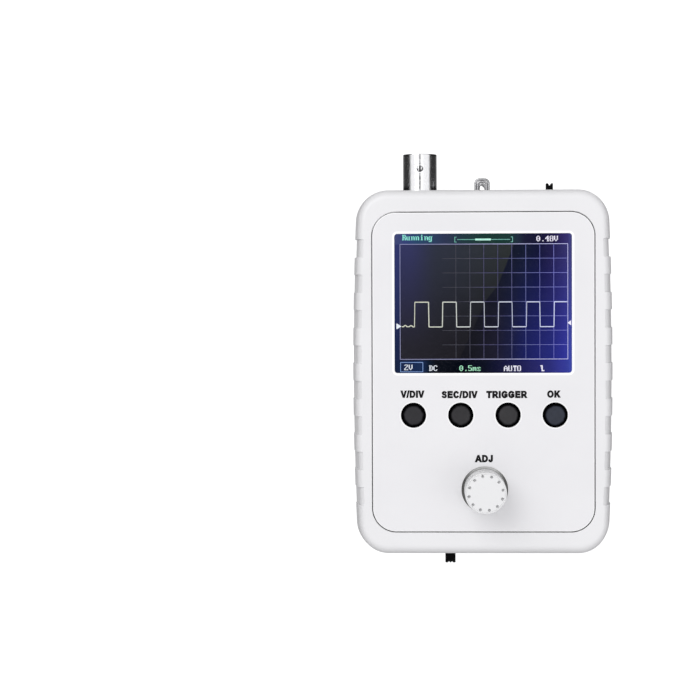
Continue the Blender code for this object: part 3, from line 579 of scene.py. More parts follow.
def bake(obj, smooth=30.0):
    """Applies every modifier and cleans the mesh."""
    depsgraph = bpy.context.evaluated_depsgraph_get()
    mesh = bpy.data.meshes.new_from_object(obj.evaluated_get(depsgraph), depsgraph=depsgraph)
    obj.modifiers.clear()
    obj.data = mesh
    bm = bmesh.new()
    bm.from_mesh(mesh)
    bmesh.ops.remove_doubles(bm, verts=bm.verts[:], dist=2e-7)
    bmesh.ops.dissolve_degenerate(bm, edges=bm.edges[:], dist=1e-7)
    bm.to_mesh(mesh)
    bm.free()
    mesh.shade_smooth()
    mesh.set_sharp_from_angle(angle=math.radians(smooth))
    mod = obj.modifiers.new("normals", "WEIGHTED_NORMAL")
    mod.keep_sharp = True
    return obj


def carve(obj, adds=(), cuts=(), smooth=30.0):
    """Joins some solids to obj and cuts others from it, then removes them."""
    for tools, how in ((adds, "UNION"), (cuts, "DIFFERENCE")):
        for tool in tools:
            for mod in list(tool.modifiers):
                if mod.type == "WEIGHTED_NORMAL":
                    tool.modifiers.remove(mod)
            mod = obj.modifiers.new(how, "BOOLEAN")
            mod.operation, mod.object, mod.solver = how, tool, "EXACT"
    for mod in list(obj.modifiers):
        if mod.type == "WEIGHTED_NORMAL":
            obj.modifiers.remove(mod)
    bake(obj, smooth)
    for tool in (*adds, *cuts):
        bpy.data.objects.remove(tool, do_unlink=True)
    return obj


def on(obj, body, slot=None, *replaced):
    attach(obj, body)
    if replaced:
        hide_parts(*replaced)
    return obj


# ---------------------------------------------------------------- side frame
def side_x(y):
    return SIDE_X - SIDE_BULGE * (y / 43.0) ** 2


def frame_stations(corner_steps=22, end_steps=5):
    slope = 2 * SIDE_BULGE * (END_Y - CORNER_R) / 43.0**2
    theta = math.atan(slope)
    y_end = END_Y - CORNER_R + CORNER_R * math.sin(theta)
    cx = side_x(y_end) - CORNER_R * math.cos(theta)
    cy = END_Y - CORNER_R
    quarter, ys = [], []
    ramp = ((-0.15, 0.0), (-0.09, 0.03), (-0.045, 0.2), (0.0, 0.8), (0.045, 0.97), (0.11, 1.0))
    for i in range(GRIP_COUNT // 2):
        mid = GRIP_PITCH * (i + 0.5)
        last = i == GRIP_COUNT // 2 - 1
        lo, hi = mid - GRIP_LEN / 2, mid + GRIP_LEN / 2
        ys += [(lo + d, share, last) for d, share in ramp]
        ys += [(mid, 1.0, last)]
        ys += [(hi - d, share, last) for d, share in reversed(ramp)]
        if i < GRIP_COUNT // 2 - 1:
            ys += [(mid + GRIP_PITCH / 2, 0.0, False)]
    for y, share, last in ys:
        t = math.atan(2 * SIDE_BULGE * y / 43.0**2)
        quarter.append(((side_x(y), y), (math.cos(t), math.sin(t)), (PANEL_X, y), (LEDGE_X, y), (WALL_X, y), share, last))
    for i in range(corner_steps + 1):
        f = i / corner_steps
        a = theta + (math.pi / 2 - theta) * f
        b = math.pi / 2 * f
        bend = lambda hx, hy, r: (hx - r + r * math.cos(b), hy - r + r * math.sin(b))
        quarter.append((
            (cx + CORNER_R * math.cos(a), cy + CORNER_R * math.sin(a)), (math.cos(a), math.sin(a)),
            bend(PANEL_X, PANEL_Y, PANEL_R), bend(LEDGE_X, LEDGE_Y, LEDGE_R), bend(WALL_X, WALL_Y, WALL_R), 0.0, False,
        ))
    for i in range(1, end_steps):
        f = 1 - i / end_steps
        quarter.append((
            (cx * f, END_Y), (0.0, 1.0), ((PANEL_X - PANEL_R) * f, PANEL_Y),
            ((LEDGE_X - LEDGE_R) * f, LEDGE_Y), ((WALL_X - WALL_R) * f, WALL_Y), 0.0, False,
        ))

    def mirror(s, sx, sy):
        return tuple((p[0] * sx, p[1] * sy) for p in s[:5]) + (s[5], s[6] and sy > 0)

    return quarter + [mirror(s, -1, 1) for s in reversed(quarter)] + [mirror(s, -1, -1) for s in quarter] + [mirror(s, 1, -1) for s in reversed(quarter)]


def frame_section(station, arc_steps=12):
    outer, normal, panel, ledge, wall, share, last = station
    depth = GRIP_DEPTH * share
    mid_depth = (GRIP_DEPTH if last else GRIP_MID_DEPTH) * share
    crown = END_CROWN + (SIDE_CROWN - END_CROWN) * normal[0] ** 2
    lip = 0.22

    def inward(d, z):
        return (outer[0] - normal[0] * d, outer[1] - normal[1] * d, z)

    # the outward direction at the panel opening, for the small rounding of that edge
    px, py = outer[0] - panel[0], outer[1] - panel[1]
    length = math.hypot(px, py)
    px, py = px / length, py / length

    def fillet(a):
        fade = min(1.0, max(0.0, (a - math.radians(3.0)) / math.radians(15.0)))
        fade = fade * fade * (3 - 2 * fade)
        return EDGE_R - (EDGE_R - crown) * math.sin(a) + depth * fade

    points = []
    for i in range(5):  # rounded front edge of the opening
        a = math.radians(90 * i / 4)
        d = lip * (1 - math.cos(a))
        points.append((panel[0] + px * d, panel[1] + py * d, CASE_T - lip + lip * math.sin(a)))
    for i in range(arc_steps + 1):
        a = math.pi / 2 * i / arc_steps
        points.append(inward(fillet(a), CASE_T - EDGE_R + EDGE_R * math.cos(a)))
    for f in (0.3, 0.65):
        d = crown * (1 - f) ** 2 + depth + (mid_depth - depth) * f
        points.append(inward(d, CASE_T - EDGE_R + (CASE_T / 2 - CASE_T + EDGE_R) * f))
    points.append(inward(mid_depth, CASE_T / 2))
    for f in (0.65, 0.3):
        d = crown * (1 - f) ** 2 + depth + (mid_depth - depth) * f
        points.append(inward(d, EDGE_R + (CASE_T / 2 - EDGE_R) * f))
    for i in range(arc_steps + 1):
        a = math.pi / 2 * (1 - i / arc_steps)
        points.append(inward(fillet(a), EDGE_R - EDGE_R * math.cos(a)))
    for i in range(5):
        a = math.radians(90 * (1 - i / 4))
        d = lip * (1 - math.cos(a))
        points.append((panel[0] + px * d, panel[1] + py * d, lip - lip * math.sin(a)))
    points += [
        (*panel, REAR_SEAT_Z), (*ledge, REAR_SEAT_Z), (*ledge, REAR_SEAT_Z + LEDGE_T), (*wall, REAR_SEAT_Z + LEDGE_T),
        (*wall, FRONT_SEAT_Z - LEDGE_T), (*ledge, FRONT_SEAT_Z - LEDGE_T), (*ledge, FRONT_SEAT_Z), (*panel, FRONT_SEAT_Z),
    ]
    return points


def make_side_frame():
    sections = [frame_section(s) for s in frame_stations()]
    k, n = len(sections[0]), len(sections)
    points = [p for section in sections for p in section]
    faces = []
    for i in range(n):
        j = (i + 1) % n
        for m in range(k):
            o = (m + 1) % k
            faces.append((i * k + m, j * k + m, j * k + o, i * k + o))
    ring = make("frame_shell", points, faces, CASE, smooth=32)
    adds, cuts = [], []
    for i, (sx, sy) in enumerate(((1, 1), (-1, 1), (-1, -1), (1, -1))):
        adds.append(extruded(f"lug_{i}", circle(3.2, 32), REAR_SEAT_Z, 10.0, None, loc=(sx * LUG_X, sy * LUG_Y, 0)))
        cuts.append(extruded(f"lug_hole_{i}", circle(1.35, 20), 1.0, 9.0, None, loc=(sx * LUG_X, sy * LUG_Y, 0)))
    lip = END_Y - END_CROWN * 0.02

    def round_hole(name, x, z, r, end):
        profile = [(0, 48), (r, 48), (r, lip - 0.22), *[(r + 0.22 - 0.22 * math.cos(math.radians(t)), lip - 0.22 + 0.22 * math.sin(math.radians(t))) for t in (30, 60, 90)], (r + 0.6, lip + 0.4), (r + 0.6, 57), (0, 57)]
        return lathe(name, profile, 72, None, (x, 0, z), TO_PLUS_Y if end > 0 else TO_MINUS_Y, smooth=None)

    def slot(name, x, hx, hz, z, end):
        loops = []
        for grow, y in ((0.0, 48.0), (0.0, lip - 0.2), (0.03, lip - 0.1), (0.1, lip - 0.03), (0.2, lip), (0.6, lip + 0.4), (0.6, 57.0)):
            loops.append([(x + px, y * end, z + pz) for px, pz in rounded(hx + grow, hz + grow, 0.25 + grow, 4)])
        pts, quads = chain(loops)
        m = len(loops[0])
        quads += [tuple(range(m)), tuple(range(len(pts) - m, len(pts)))]
        return make(name, pts, quads, None, smooth=None)

    cuts += [
        round_hole("cut_bnc", BNC_X, BNC_Z, 5.25, 1),
        round_hole("cut_jack", JACK_X, JACK_Z, 4.4, -1),
        slot("cut_terminal", TERMINAL_X, 3.0, 1.0, SWITCH_Z, 1),
        slot("cut_coupling", COUPLING_X, 3.4, 1.6, SWITCH_Z, 1),
        slot("cut_power", POWER_X + POWER_STEP / 2, 2.8, 1.6, SWITCH_Z, -1),
    ]
    return carve(ring, adds, cuts, smooth=32)


on(make_side_frame(), "case", "case_white", "side_frame")


# -------------------------------------------------------------------- panels
def plate_with_edges(name, outer, holes, z_face, z_back, fillet, mat, flip=False):
    """A panel whose outer edge and holes are rounded on its show face.

    outer and each hole are (outline as a function of how much it grows, fillet radius, steps below);
    steps below are (grow, z) rings between the fillet and the back face.
    """
    points, faces = [], []

    def add(loop, z):
        start = len(points)
        points.extend((x, y, z) for x, y in loop)
        return (start, len(loop))

    def join(a, b):
        (s, n), (t, _m) = a, b
        for k in range(n):
            j = (k + 1) % n
            faces.append((s + k, s + j, t + j, t + k))

    def cap(rings):
        loops = [[Vector((*points[s + k][:2], 0)) for k in range(n)] for s, n in rings]
        index = [s + k for s, n in rings for k in range(n)]
        for tri in tessellate_polygon(loops):
            faces.append(tuple(index[i] for i in tri))

    tops, bottoms = [], []
    for sign, (outline, r, below) in ((-1, outer), *((1, h) for h in holes)):
        steps = 6
        rings = []
        wide, deep = r if isinstance(r, tuple) else (r, r)
        for i in range(steps + 1):
            a = math.pi / 2 * i / steps
            rings.append(add(outline(sign * wide * (1 - math.sin(a))), z_face - deep * (1 - math.cos(a))))
        for grow, z in below:
            rings.append(add(outline(grow), z))
        rings.append(add(outline(below[-1][0] if below else 0.0), z_back))
        for a, b in zip(rings, rings[1:]):
            join(a, b)
        tops.append(rings[0])
        bottoms.append(rings[-1])
    cap(tops)
    cap(bottoms)
    if flip:
        points[:] = [(x, y, z_face + z_back - z) for x, y, z in points]
    return make(name, points, faces, mat, smooth=32)


def rect_grow(hx, hy, r, steps, cx=0.0, cy=0.0):
    return lambda d: rounded(hx + d, hy + d, r + d, steps, cx, cy)


def hole_grow(r, n, cx, cy, start):
    return lambda d: circle(r + d, n, cx, cy, start)


front = plate_with_edges(
    "front_plate",
    (rect_grow(PANEL_X - GAP, PANEL_Y - GAP, PANEL_R - GAP, 20), 0.24, []),
    [
        (rect_grow(WINDOW_W / 2, WINDOW_H / 2 + 0.08, WINDOW_R, 10, WINDOW_CX, WINDOW_CY + 0.08), (0.85, 0.14), [(0.0, 21.1), (0.9 + GAP, 21.1)]),
        *[(hole_grow(BUTTON_HOLE_R, 72, x, BUTTON_Y, 0.013 + 0.011 * i), (0.5, 0.1), []) for i, x in enumerate(BUTTON_X)],
        (hole_grow(KNOB_HOLE_R + 0.08, 112, KNOB_X, KNOB_Y, 0.007), 0.16, [(0.0, 21.3), (-0.64, 21.3)]),
    ],
    CASE_T,
    CASE_T - PANEL_T,
    0.25,
    PANEL,
)
posts, bores = [], []
for i, (sx, y) in enumerate(((1, POST_YS[0]), (-1, POST_YS[0]), (-1, POST_YS[1]), (1, POST_YS[1]))):
    posts.append(extruded(f"post_{i}", circle(POST_R, 32, 0, 0, 0.04), POST_Z0, CASE_T - PANEL_T + 0.4, None, loc=(sx * POST_X, y, 0)))
    bores.append(extruded(f"bore_{i}", circle(1.4, 20, 0, 0, 0.04), 12.0, 19.2, None, loc=(sx * POST_X, y, 0)))
carve(front, posts, bores, smooth=32)
on(front, "case", "case_white", "front_panel")

back = plate_with_edges(
    "rear_plate",
    (rect_grow(PANEL_X - GAP, PANEL_Y - GAP, PANEL_R - GAP, 20), 0.24, []),
    [
        (hole_grow(2.9, 56, sx * LUG_X, sy * LUG_Y, 0.01 + 0.013 * i), 0.16, [(0.0, 0.7), (-1.3, 0.7)])
        for i, (sx, sy) in enumerate(((1, 1), (-1, 1), (-1, -1), (1, -1)))
    ],
    REAR_SEAT_Z - GAP,
    0.0,
    0.25,
    CASE,
    flip=True,
)
on(back, "case", "case_white", "rear_panel")


# -------------------------------------------------------------------- screws
def screw(name, x, y, body_z):
    """Cross-recess pan head at its low end, shank with a fine thread above it."""
    profile = [(0, 0.4), *arc(1.95, 0.9, 0.5, -90, 0, 6), (2.45, 1.0), (1.05, 1.0)]
    z = 1.3
    while z < 7.6:
        profile += [(0.92, z), (1.05, z + 0.14), (0.92, z + 0.28)]
        z += 0.42
    profile += [(0.85, 7.8), (0.35, 8.6), (0, 8.6)]
    head = lathe(name, profile, 40, SCREW, (x, y, body_z), smooth=35)
    cross = []
    for k in range(2):
        half, tip = 1.25, 0.55
        a, b = (0.24, half) if k == 0 else (half, 0.24)
        c, d = (0.14, tip) if k == 0 else (tip, 0.14)
        loops = [
            [(a, b, 0.2), (-a, b, 0.2), (-a, -b, 0.2), (a, -b, 0.2)],
            [(c, d, 0.86), (-c, d, 0.86), (-c, -d, 0.86), (c, -d, 0.86)],
        ]
        pts, quads = chain(loops)
        quads += [(0, 1, 2, 3), (4, 5, 6, 7)]
        cross.append(make(f"{name}_cross_{k}", pts, quads, None, loc=(x, y, body_z), rot=Matrix.Rotation(0.5, 4, "Z"), smooth=None))
    return carve(head, (), cross, smooth=35)


for i, (sx, sy) in enumerate(((1, 1), (-1, 1), (-1, -1), (1, -1))):
    on(screw(f"rear_screw_{i + 1}", sx * LUG_X, sy * LUG_Y, 0.0), "case", "steel", f"case_screw_{i + 1}")

# ------------------------------------------------------------------- display
lens = extruded("window_lens", rounded(LENS_W / 2, LENS_H / 2, 0.8, 6, WINDOW_CX, WINDOW_CY), 19.9, 20.8, LENS, bevel=0.08)
on(lens, "case", "lens", "screen_lens")
cell = extruded("display_cell", rounded(26.75, 21.3, 0.3, 3, -0.05, 20.1), 18.5, 19.6, SCREEN, bevel=0.05, segments=1)
on(cell, "case", "screen", "lcd_glass")

GLOW_Z0, GLOW_Z1 = 19.602, 19.64


def slabs(name, rects, mat, z0=GLOW_Z0, z1=GLOW_Z1):
    """Many thin closed rectangles (x0, x1, y0, y1) in one mesh."""
    points, faces = [], []
    for x0, x1, y0, y1 in rects:
        s = len(points)
        points += [(x0, y0, z0), (x1, y0, z0), (x1, y1, z0), (x0, y1, z0), (x0, y0, z1), (x1, y0, z1), (x1, y1, z1), (x0, y1, z1)]
        faces += [(s + 3, s + 2, s + 1, s), (s + 4, s + 5, s + 6, s + 7), (s, s + 1, s + 5, s + 4), (s + 1, s + 2, s + 6, s + 5), (s + 2, s + 3, s + 7, s + 6), (s + 3, s, s + 4, s + 7)]
    return make(name, points, faces, mat, smooth=None)


GX0, GX1, GY0, GY1 = -24.22, 24.66, 3.76, 37.36
COLS, ROWS = 12, 8
DX, DY = (GX1 - GX0) / COLS, (GY1 - GY0) / ROWS
LINE = 0.155


def grid_glow():
    """The grid's lines: lost in the grey haze of the painted reflection at the left, brighter step by step to the
    right.
    """
    m = Nodes("grid_glow", (0.01, 0.01, 0.01), 0.3)
    x, _y, _z = m.xyz()
    colour = m.ramp(m.span(x, -0.012, 0.0247, 0.0, 1.0), [
        (0.0, lin(44, 45, 58)), (0.117, lin(50, 50, 67)), (0.229, lin(55, 55, 77)), (0.34, lin(70, 68, 112)), (0.455, lin(62, 62, 108)),
        (0.564, lin(84, 87, 142)), (0.676, lin(98, 105, 172)), (0.787, lin(100, 102, 176)), (0.896, lin(112, 114, 202)), (1.0, lin(116, 118, 208)),
    ])
    m.glow(m.mix(m.span(m.noise(900.0, 2.0), 0.3, 0.7, 0.0, 0.12), colour, (0.0, 0.0, 0.0)), 1.0)
    return m.mat


GRID = grid_glow()
FRAME_GLOW = glowing("grid_frame_glow", lin(150, 152, 196), lin(205, 205, 255), -0.02, 0.022, 1.0, 0.1)
TRACE = glowing("trace_glow", lin(220, 223, 202), lin(214, 221, 255), strength=1.0)
CYAN = glowing("status_glow", (0.30, 0.95, 0.78), (0.24, 0.88, 0.72))
GREEN = glowing("position_glow", (0.17, 0.56, 0.44), (0.2, 0.58, 0.50), -0.009, 0.009)
BRIGHT = glowing("position_bright_glow", (0.50, 0.96, 0.80), (0.55, 0.98, 0.84), -0.003, 0.003)
PALE = glowing("readout_glow", (0.86, 0.92, 1.0), (0.98, 0.94, 1.1))
SKY = glowing("scale_box_glow", (0.25, 0.42, 0.82), (0.25, 0.42, 0.82))
LIME = glowing("timebase_glow", (0.40, 0.90, 0.58), (0.40, 0.90, 0.58))

# grid lines are cut where they cross, so that no two slabs share a place; the first columns stay unlit
FIRST = 4
rects = []
for i in range(FIRST, COLS):
    x = GX0 + DX * i
    rects.append((x - LINE / 2, x + LINE / 2, GY0 + LINE, GY1 - LINE))
for j in range(1, ROWS):
    y = GY0 + DY * j
    for i in range(FIRST - 1, COLS):
        a = GX0 + DX * i + LINE / 2
        b = GX0 + DX * (i + 1) - (LINE if i == COLS - 1 else LINE / 2)
        rects.append((a, b, y - LINE / 2, y + LINE / 2))
on(slabs("screen_grid", rects, GRID, 19.602, 19.615), "case", "screen")
w = 0.16
rects = [(GX0 - w / 2, GX1 + w / 2, GY1 - w / 2, GY1 + w / 2), (GX0 - w / 2, GX1 + w / 2, GY0 - w / 2, GY0 + w / 2), (GX0 - w / 2, GX0 + w / 2, GY0 + w / 2, GY1 - w / 2), (GX1 - w / 2, GX1 + w / 2, GY0 + w / 2, GY1 - w / 2)]
on(slabs("screen_grid_frame", rects, FRAME_GLOW, 19.602, 19.62), "case", "screen")


def ribbon(name, path, half, mat, z0, z1):
    """A flat line along a path, mitred at its corners; half is its half width, or one for each point."""
    left, right = [], []
    for i, (x, y) in enumerate(path):
        ends = []
        if i > 0:
            ends.append((x - path[i - 1][0], y - path[i - 1][1]))
        if i < len(path) - 1:
            ends.append((path[i + 1][0] - x, path[i + 1][1] - y))
        ds = [(dx / math.hypot(dx, dy), dy / math.hypot(dx, dy)) for dx, dy in ends]
        tx, ty = sum(d[0] for d in ds), sum(d[1] for d in ds)
        length = math.hypot(tx, ty)
        tx, ty = tx / length, ty / length
        stretch = 1.0 / max(0.5, tx * ds[0][0] + ty * ds[0][1])
        reach = stretch * (half[i] if isinstance(half, list) else half)
        left.append((x - ty * reach, y + tx * reach))
        right.append((x + ty * reach, y - tx * reach))
    n = len(path)
    points = [(x, y, z) for z in (z0, z1) for side in (left, right) for x, y in side]
    faces = []
    for i in range(n - 1):
        faces += [
            (i, i + 1, n + i + 1, n + i),
            (2 * n + i, 3 * n + i, 3 * n + i + 1, 2 * n + i + 1),
            (i, 2 * n + i, 2 * n + i + 1, i + 1),
            (n + i, n + i + 1, 3 * n + i + 1, 3 * n + i),
        ]
    faces += [(0, n, 3 * n, 2 * n), (n - 1, 2 * n - 1 + n * 0, 4 * n - 1, 3 * n - 1)]
    return make(name, points, faces, mat, smooth=None)


EDGES = (-19.98, -15.86, -11.83, -7.77, -3.69, 0.36, 4.47, 8.49, 12.66, 16.56, 20.69)
LOW, HIGH = 13.2, 20.45
path = [(-23.75, LOW + 0.12), (-23.2, LOW + 0.1), (-22.95, LOW + 0.42), (-22.6, LOW + 0.48), (-22.3, LOW + 0.12), (-21.6, LOW + 0.1), (-21.2, LOW + 0.4), (-20.8, LOW + 0.36), (-20.5, LOW + 0.05)]
level = LOW
halves = [0.14] * len(path)
for k, x in enumerate(EDGES):
    rise = 0.14 * (0.74, 1.0, 0.94, 0.86, 0.62, 0.57, 0.56, 0.56, 0.54, 0.78, 0.84)[k]
    halves += [0.14, rise, rise, 0.14]
    path.append((x - 0.22, level))
    path.append((x - 0.06, level + (0.1 if level == LOW else -0.1)))
    level = HIGH if level == LOW else LOW
    path.append((x + 0.06, level + (0.1 if level == LOW else -0.1)))
    path.append((x + 0.22, level))
path.append((24.5, HIGH))
halves.append(0.14)
on(ribbon("screen_trace", path, halves, TRACE, 19.603, 19.66), "case", "screen")


def wedge(name, outline, mat):
    return extruded(name, outline, GLOW_Z0, GLOW_Z1, mat, smooth=None)


on(wedge("screen_zero_mark", [(-25.32, 12.7), (-25.17, 12.58), (-23.85, 13.42), (-25.17, 14.26), (-25.32, 14.14)], PALE), "case", "screen")
on(wedge("screen_level_mark", [(24.62, 14.32), (25.62, 13.56), (25.62, 15.08)], PALE), "case", "screen")

# 8 x 16 cell letters, one byte a row from the top
GLYPHS = {
    "0": "0000386CC6C6D6D6C6C66C3800000000", "2": "00007CC6060C183060C0C6FE00000000", "4": "00000C1C3C6CCCFE0C0C0C1E00000000",
    "5": "0000FEC0C0C0FC060606C67C00000000", "8": "00007CC6C6C67CC6C6C6C67C00000000", ".": "00000000000000000000181800000000",
    "A": "000010386CC6C6FEC6C6C6C600000000", "C": "00003C66C2C0C0C0C0C2663C00000000", "D": "0000F86C6666666666666CF800000000",
    "O": "00007CC6C6C6C6C6C6C6C67C00000000", "R": "0000FC6666667C6C666666E600000000", "T": "00007E7E5A1818181818183C00000000",
    "U": "0000C6C6C6C6C6C6C6C6C67C00000000", "V": "0000C6C6C6C6C6C6C66C381000000000", "g": "000000000076CCCCCCCCCC7C0CCC7800",
    "i": "00001818003818181818183C00000000", "m": "0000000000ECFED6D6D6D6C600000000", "n": "0000000000DC66666666666600000000",
    "s": "00000000007CC6603810C67C00000000", "u": "0000000000CCCCCCCCCCCC7600000000",
}
CELL = 0.161


def cell_text(name, text, x, y_top, mat, cell=CELL):
    """Text in square display cells; x is the left edge and y_top the top of the capitals."""
    rects = []
    for i, letter in enumerate(text):
        rows = bytes.fromhex(GLYPHS[letter])
        for r, row in enumerate(rows):
            c = 0
            while c < 8:
                if row >> (7 - c) & 1:
                    e = c
                    while e < 8 and row >> (7 - e) & 1:
                        e += 1
                    y1 = y_top - (r - 2) * cell
                    rects.append((x + (8 * i + c) * cell, x + (8 * i + e) * cell, y1 - cell * 0.94, y1))
                    c = e
                else:
                    c += 1
    return on(slabs(name, rects, mat), "case", "screen")


cell_text("screen_text_state", "Running", -23.62, 40.13, CYAN)
cell_text("screen_text_level", "0.48V", 15.52, 39.68, PALE)
cell_text("screen_text_scale", "2V", -23.05, 2.2, PALE)
cell_text("screen_text_coupling", "DC", -15.85, 1.96, PALE)
cell_text("screen_text_timebase", "0.5ms", -6.98, 1.93, LIME)
cell_text("screen_text_mode", "AUTO", 6.02, 1.86, PALE)

# the memory bar in its brackets, the box round the vertical scale and the rising-slope sign
bar_y, t = 38.68, 0.085
rects = [(-7.5, -2.35, bar_y - t, bar_y + t), (2.4, 7.9, bar_y - t, bar_y + t)]
for x, s in ((-8.3, 1), (8.7, -1)):
    rects += [(min(x, x + s * 0.17), max(x, x + s * 0.17), bar_y - 0.8, bar_y + 0.8)]
    for yy in (bar_y - 0.8, bar_y + 0.64):
        rects.append((min(x + s * 0.17, x + s * 0.6), max(x + s * 0.17, x + s * 0.6), yy, yy + 0.16))
on(slabs("screen_memory_bar", rects, GREEN), "case", "screen")
on(slabs("screen_memory_window", [(-2.28, 2.32, bar_y - 0.27, bar_y + 0.27)], BRIGHT), "case", "screen")
x0, x1, y0, y1, t = -24.2, -17.55, 0.02, 2.92, 0.15
rects = [(x0, x1, y1 - t, y1), (x0, x1, y0, y0 + t), (x0, x0 + t, y0 + t, y1 - t), (x1 - t, x1, y0 + t, y1 - t)]
on(slabs("screen_scale_box", rects, SKY), "case", "screen")
slope = [(16.65, 1.92), (17.35, 1.92), (17.35, 0.52), (17.8, 0.52), (17.8, 0.2), (17.0, 0.2), (17.0, 0.95), (16.78, 1.15), (17.0, 1.35), (17.0, 1.6), (16.65, 1.6)]
on(wedge("screen_slope_mark", slope, PALE), "case", "screen")


# ------------------------------------------------------------------- legends
def oval(cx, cy, rx, ry, a0, a1, steps=14):
    return [(cx + rx * math.cos(math.radians(a0 + (a1 - a0) * i / steps)), cy + ry * math.sin(math.radians(a0 + (a1 - a0) * i / steps))) for i in range(steps + 1)]


def brush(path, half, per=4):
    """The outline of an even stroke through the points of a smooth path."""
    pts = []
    for i in range(len(path) - 1):
        p0, p1, p2, p3 = path[max(0, i - 1)], path[i], path[i + 1], path[min(len(path) - 1, i + 2)]
        for k in range(per):
            t = k / per
            pts.append(tuple(0.5 * (2 * b + (c - a) * t + (2 * a - 5 * b + 4 * c - d) * t * t + (3 * b - a - 3 * c + d) * t**3) for a, b, c, d in zip(p0, p1, p2, p3)))
    pts.append(path[-1])
    left, right = [], []
    for i, (x, y) in enumerate(pts):
        a, b = pts[max(0, i - 1)], pts[min(len(pts) - 1, i + 1)]
        dx, dy = b[0] - a[0], b[1] - a[1]
        n = math.hypot(dx, dy)
        left.append((x - dy / n * half, y + dx / n * half))
        right.append((x + dy / n * half, y - dx / n * half))
    return left + right[::-1]


def stroke(path, half):
    """The same stroke as a row of four-sided pieces, each with no hole, which a tight bend can't spoil."""
    loop = brush(path, half)
    n = len(loop) // 2
    left, right = loop[:n], loop[n:][::-1]
    return [([left[i], right[i], right[i + 1], left[i + 1]], []) for i in range(n - 1)]


# bold capitals in units of their own height: advance, then outlines, each with its holes
CAPITALS = {
    "V": (0.93, [([(0.0, 1), (0.235, 1), (0.468, 0.27), (0.70, 1), (0.93, 1), (0.585, 0), (0.35, 0)], [])]),
    "/": (0.40, [([(0.0, -0.02), (0.15, -0.02), (0.39, 1.02), (0.24, 1.02)], [])]),
    "I": (0.40, [([(0.1, 0), (0.302, 0), (0.302, 1), (0.1, 1)], [])]),
    "D": (1.0, [([(0.1, 0), *oval(0.47, 0.5, 0.47, 0.5, -90, 90, 20), (0.1, 1)], [[(0.3, 0.17), *oval(0.44, 0.5, 0.29, 0.33, -90, 90, 16), (0.3, 0.83)]])]),
    "S": (0.90, stroke([(0.775, 0.69), (0.68, 0.86), (0.46, 0.915), (0.25, 0.86), (0.19, 0.725), (0.28, 0.60), (0.46, 0.53), (0.66, 0.455), (0.755, 0.29), (0.67, 0.13), (0.45, 0.085), (0.24, 0.135), (0.14, 0.31)], 0.16)),
    "E": (0.92, [([(0.1, 0), (0.86, 0), (0.86, 0.17), (0.3, 0.17), (0.3, 0.43), (0.80, 0.43), (0.80, 0.60), (0.3, 0.60), (0.3, 0.83), (0.84, 0.83), (0.84, 1), (0.1, 1)], [])]),
    "C": (1.0, [([*oval(0.51, 0.5, 0.445, 0.515, 33, 325, 26), *oval(0.53, 0.5, 0.255, 0.34, 322, 36, 20)], [])]),
    "T": (0.86, [([(0.33, 0), (0.53, 0), (0.53, 0.83), (0.83, 0.83), (0.83, 1), (0.03, 1), (0.03, 0.83), (0.33, 0.83)], [])]),
    "R": (1.0, [([(0.1, 0), (0.3, 0), (0.3, 0.41), (0.38, 0.41), (0.50, 0.37), (0.745, 0), (0.99, 0), (0.75, 0.36), (0.765, 0.44), *oval(0.63, 0.715, 0.275, 0.285, -50, 90, 12), (0.1, 1)], [[(0.3, 0.565), *oval(0.58, 0.70, 0.125, 0.135, -90, 90, 8), (0.3, 0.835)]])]),
    "G": (1.07, [([*oval(0.54, 0.5, 0.475, 0.515, 35, 312, 26), (0.98, 0.13), (0.98, 0.54), (0.55, 0.54), (0.55, 0.375), (0.78, 0.375), (0.78, 0.235), *oval(0.55, 0.5, 0.275, 0.34, 300, 38, 20)], [])]),
    "O": (1.07, [(oval(0.53, 0.5, 0.475, 0.515, 0, 348, 28), [oval(0.53, 0.5, 0.27, 0.34, 4, 346, 22)])]),
    "K": (1.0, [([(0.1, 0), (0.3, 0), (0.3, 0.31), (0.435, 0.455), (0.735, 0), (0.99, 0), (0.585, 0.605), (0.965, 1), (0.695, 1), (0.3, 0.565), (0.3, 1), (0.1, 1)], [])]),
    "A": (1.0, [([(0.0, 0), (0.22, 0), (0.305, 0.225), (0.695, 0.225), (0.785, 0), (1.0, 0), (0.61, 1), (0.395, 1)], [[(0.37, 0.395), (0.63, 0.395), (0.50, 0.755)]])]),
    "J": (0.78, [([(0.47, 1), (0.67, 1), (0.67, 0.36), *oval(0.36, 0.315, 0.31, 0.33, 0, -172, 12), (0.235, 0.32), *oval(0.36, 0.315, 0.12, 0.165, 200, 360, 8), (0.47, 0.38)], [])]),
}


def heavier(loop, by, hole=False):
    """The loop grown outwards by an even margin; a hole shrinks."""
    area = sum(a[0] * b[1] - b[0] * a[1] for a, b in zip(loop, loop[1:] + loop[:1]))
    turn = (1 if area > 0 else -1) * (-1 if hole else 1)
    out = []
    for i, (x, y) in enumerate(loop):
        (ax, ay), (bx, by_) = loop[i - 1], loop[(i + 1) % len(loop)]
        d0, d1 = Vector((x - ax, y - ay)), Vector((bx - x, by_ - y))
        d0, d1 = (d0 if d0.length > 1e-9 else d1).normalized(), (d1 if d1.length > 1e-9 else d0).normalized()
        n = Vector((d0.y + d1.y, -d0.x - d1.x)) * turn
        n = n.normalized() if n.length > 1e-6 else Vector((d0.y, -d0.x)) * turn
        stretch = 1 / max(0.6, n.dot(Vector((d0.y, -d0.x)) * turn))
        out.append((x + n.x * by * stretch, y + n.y * by * stretch))
    return out


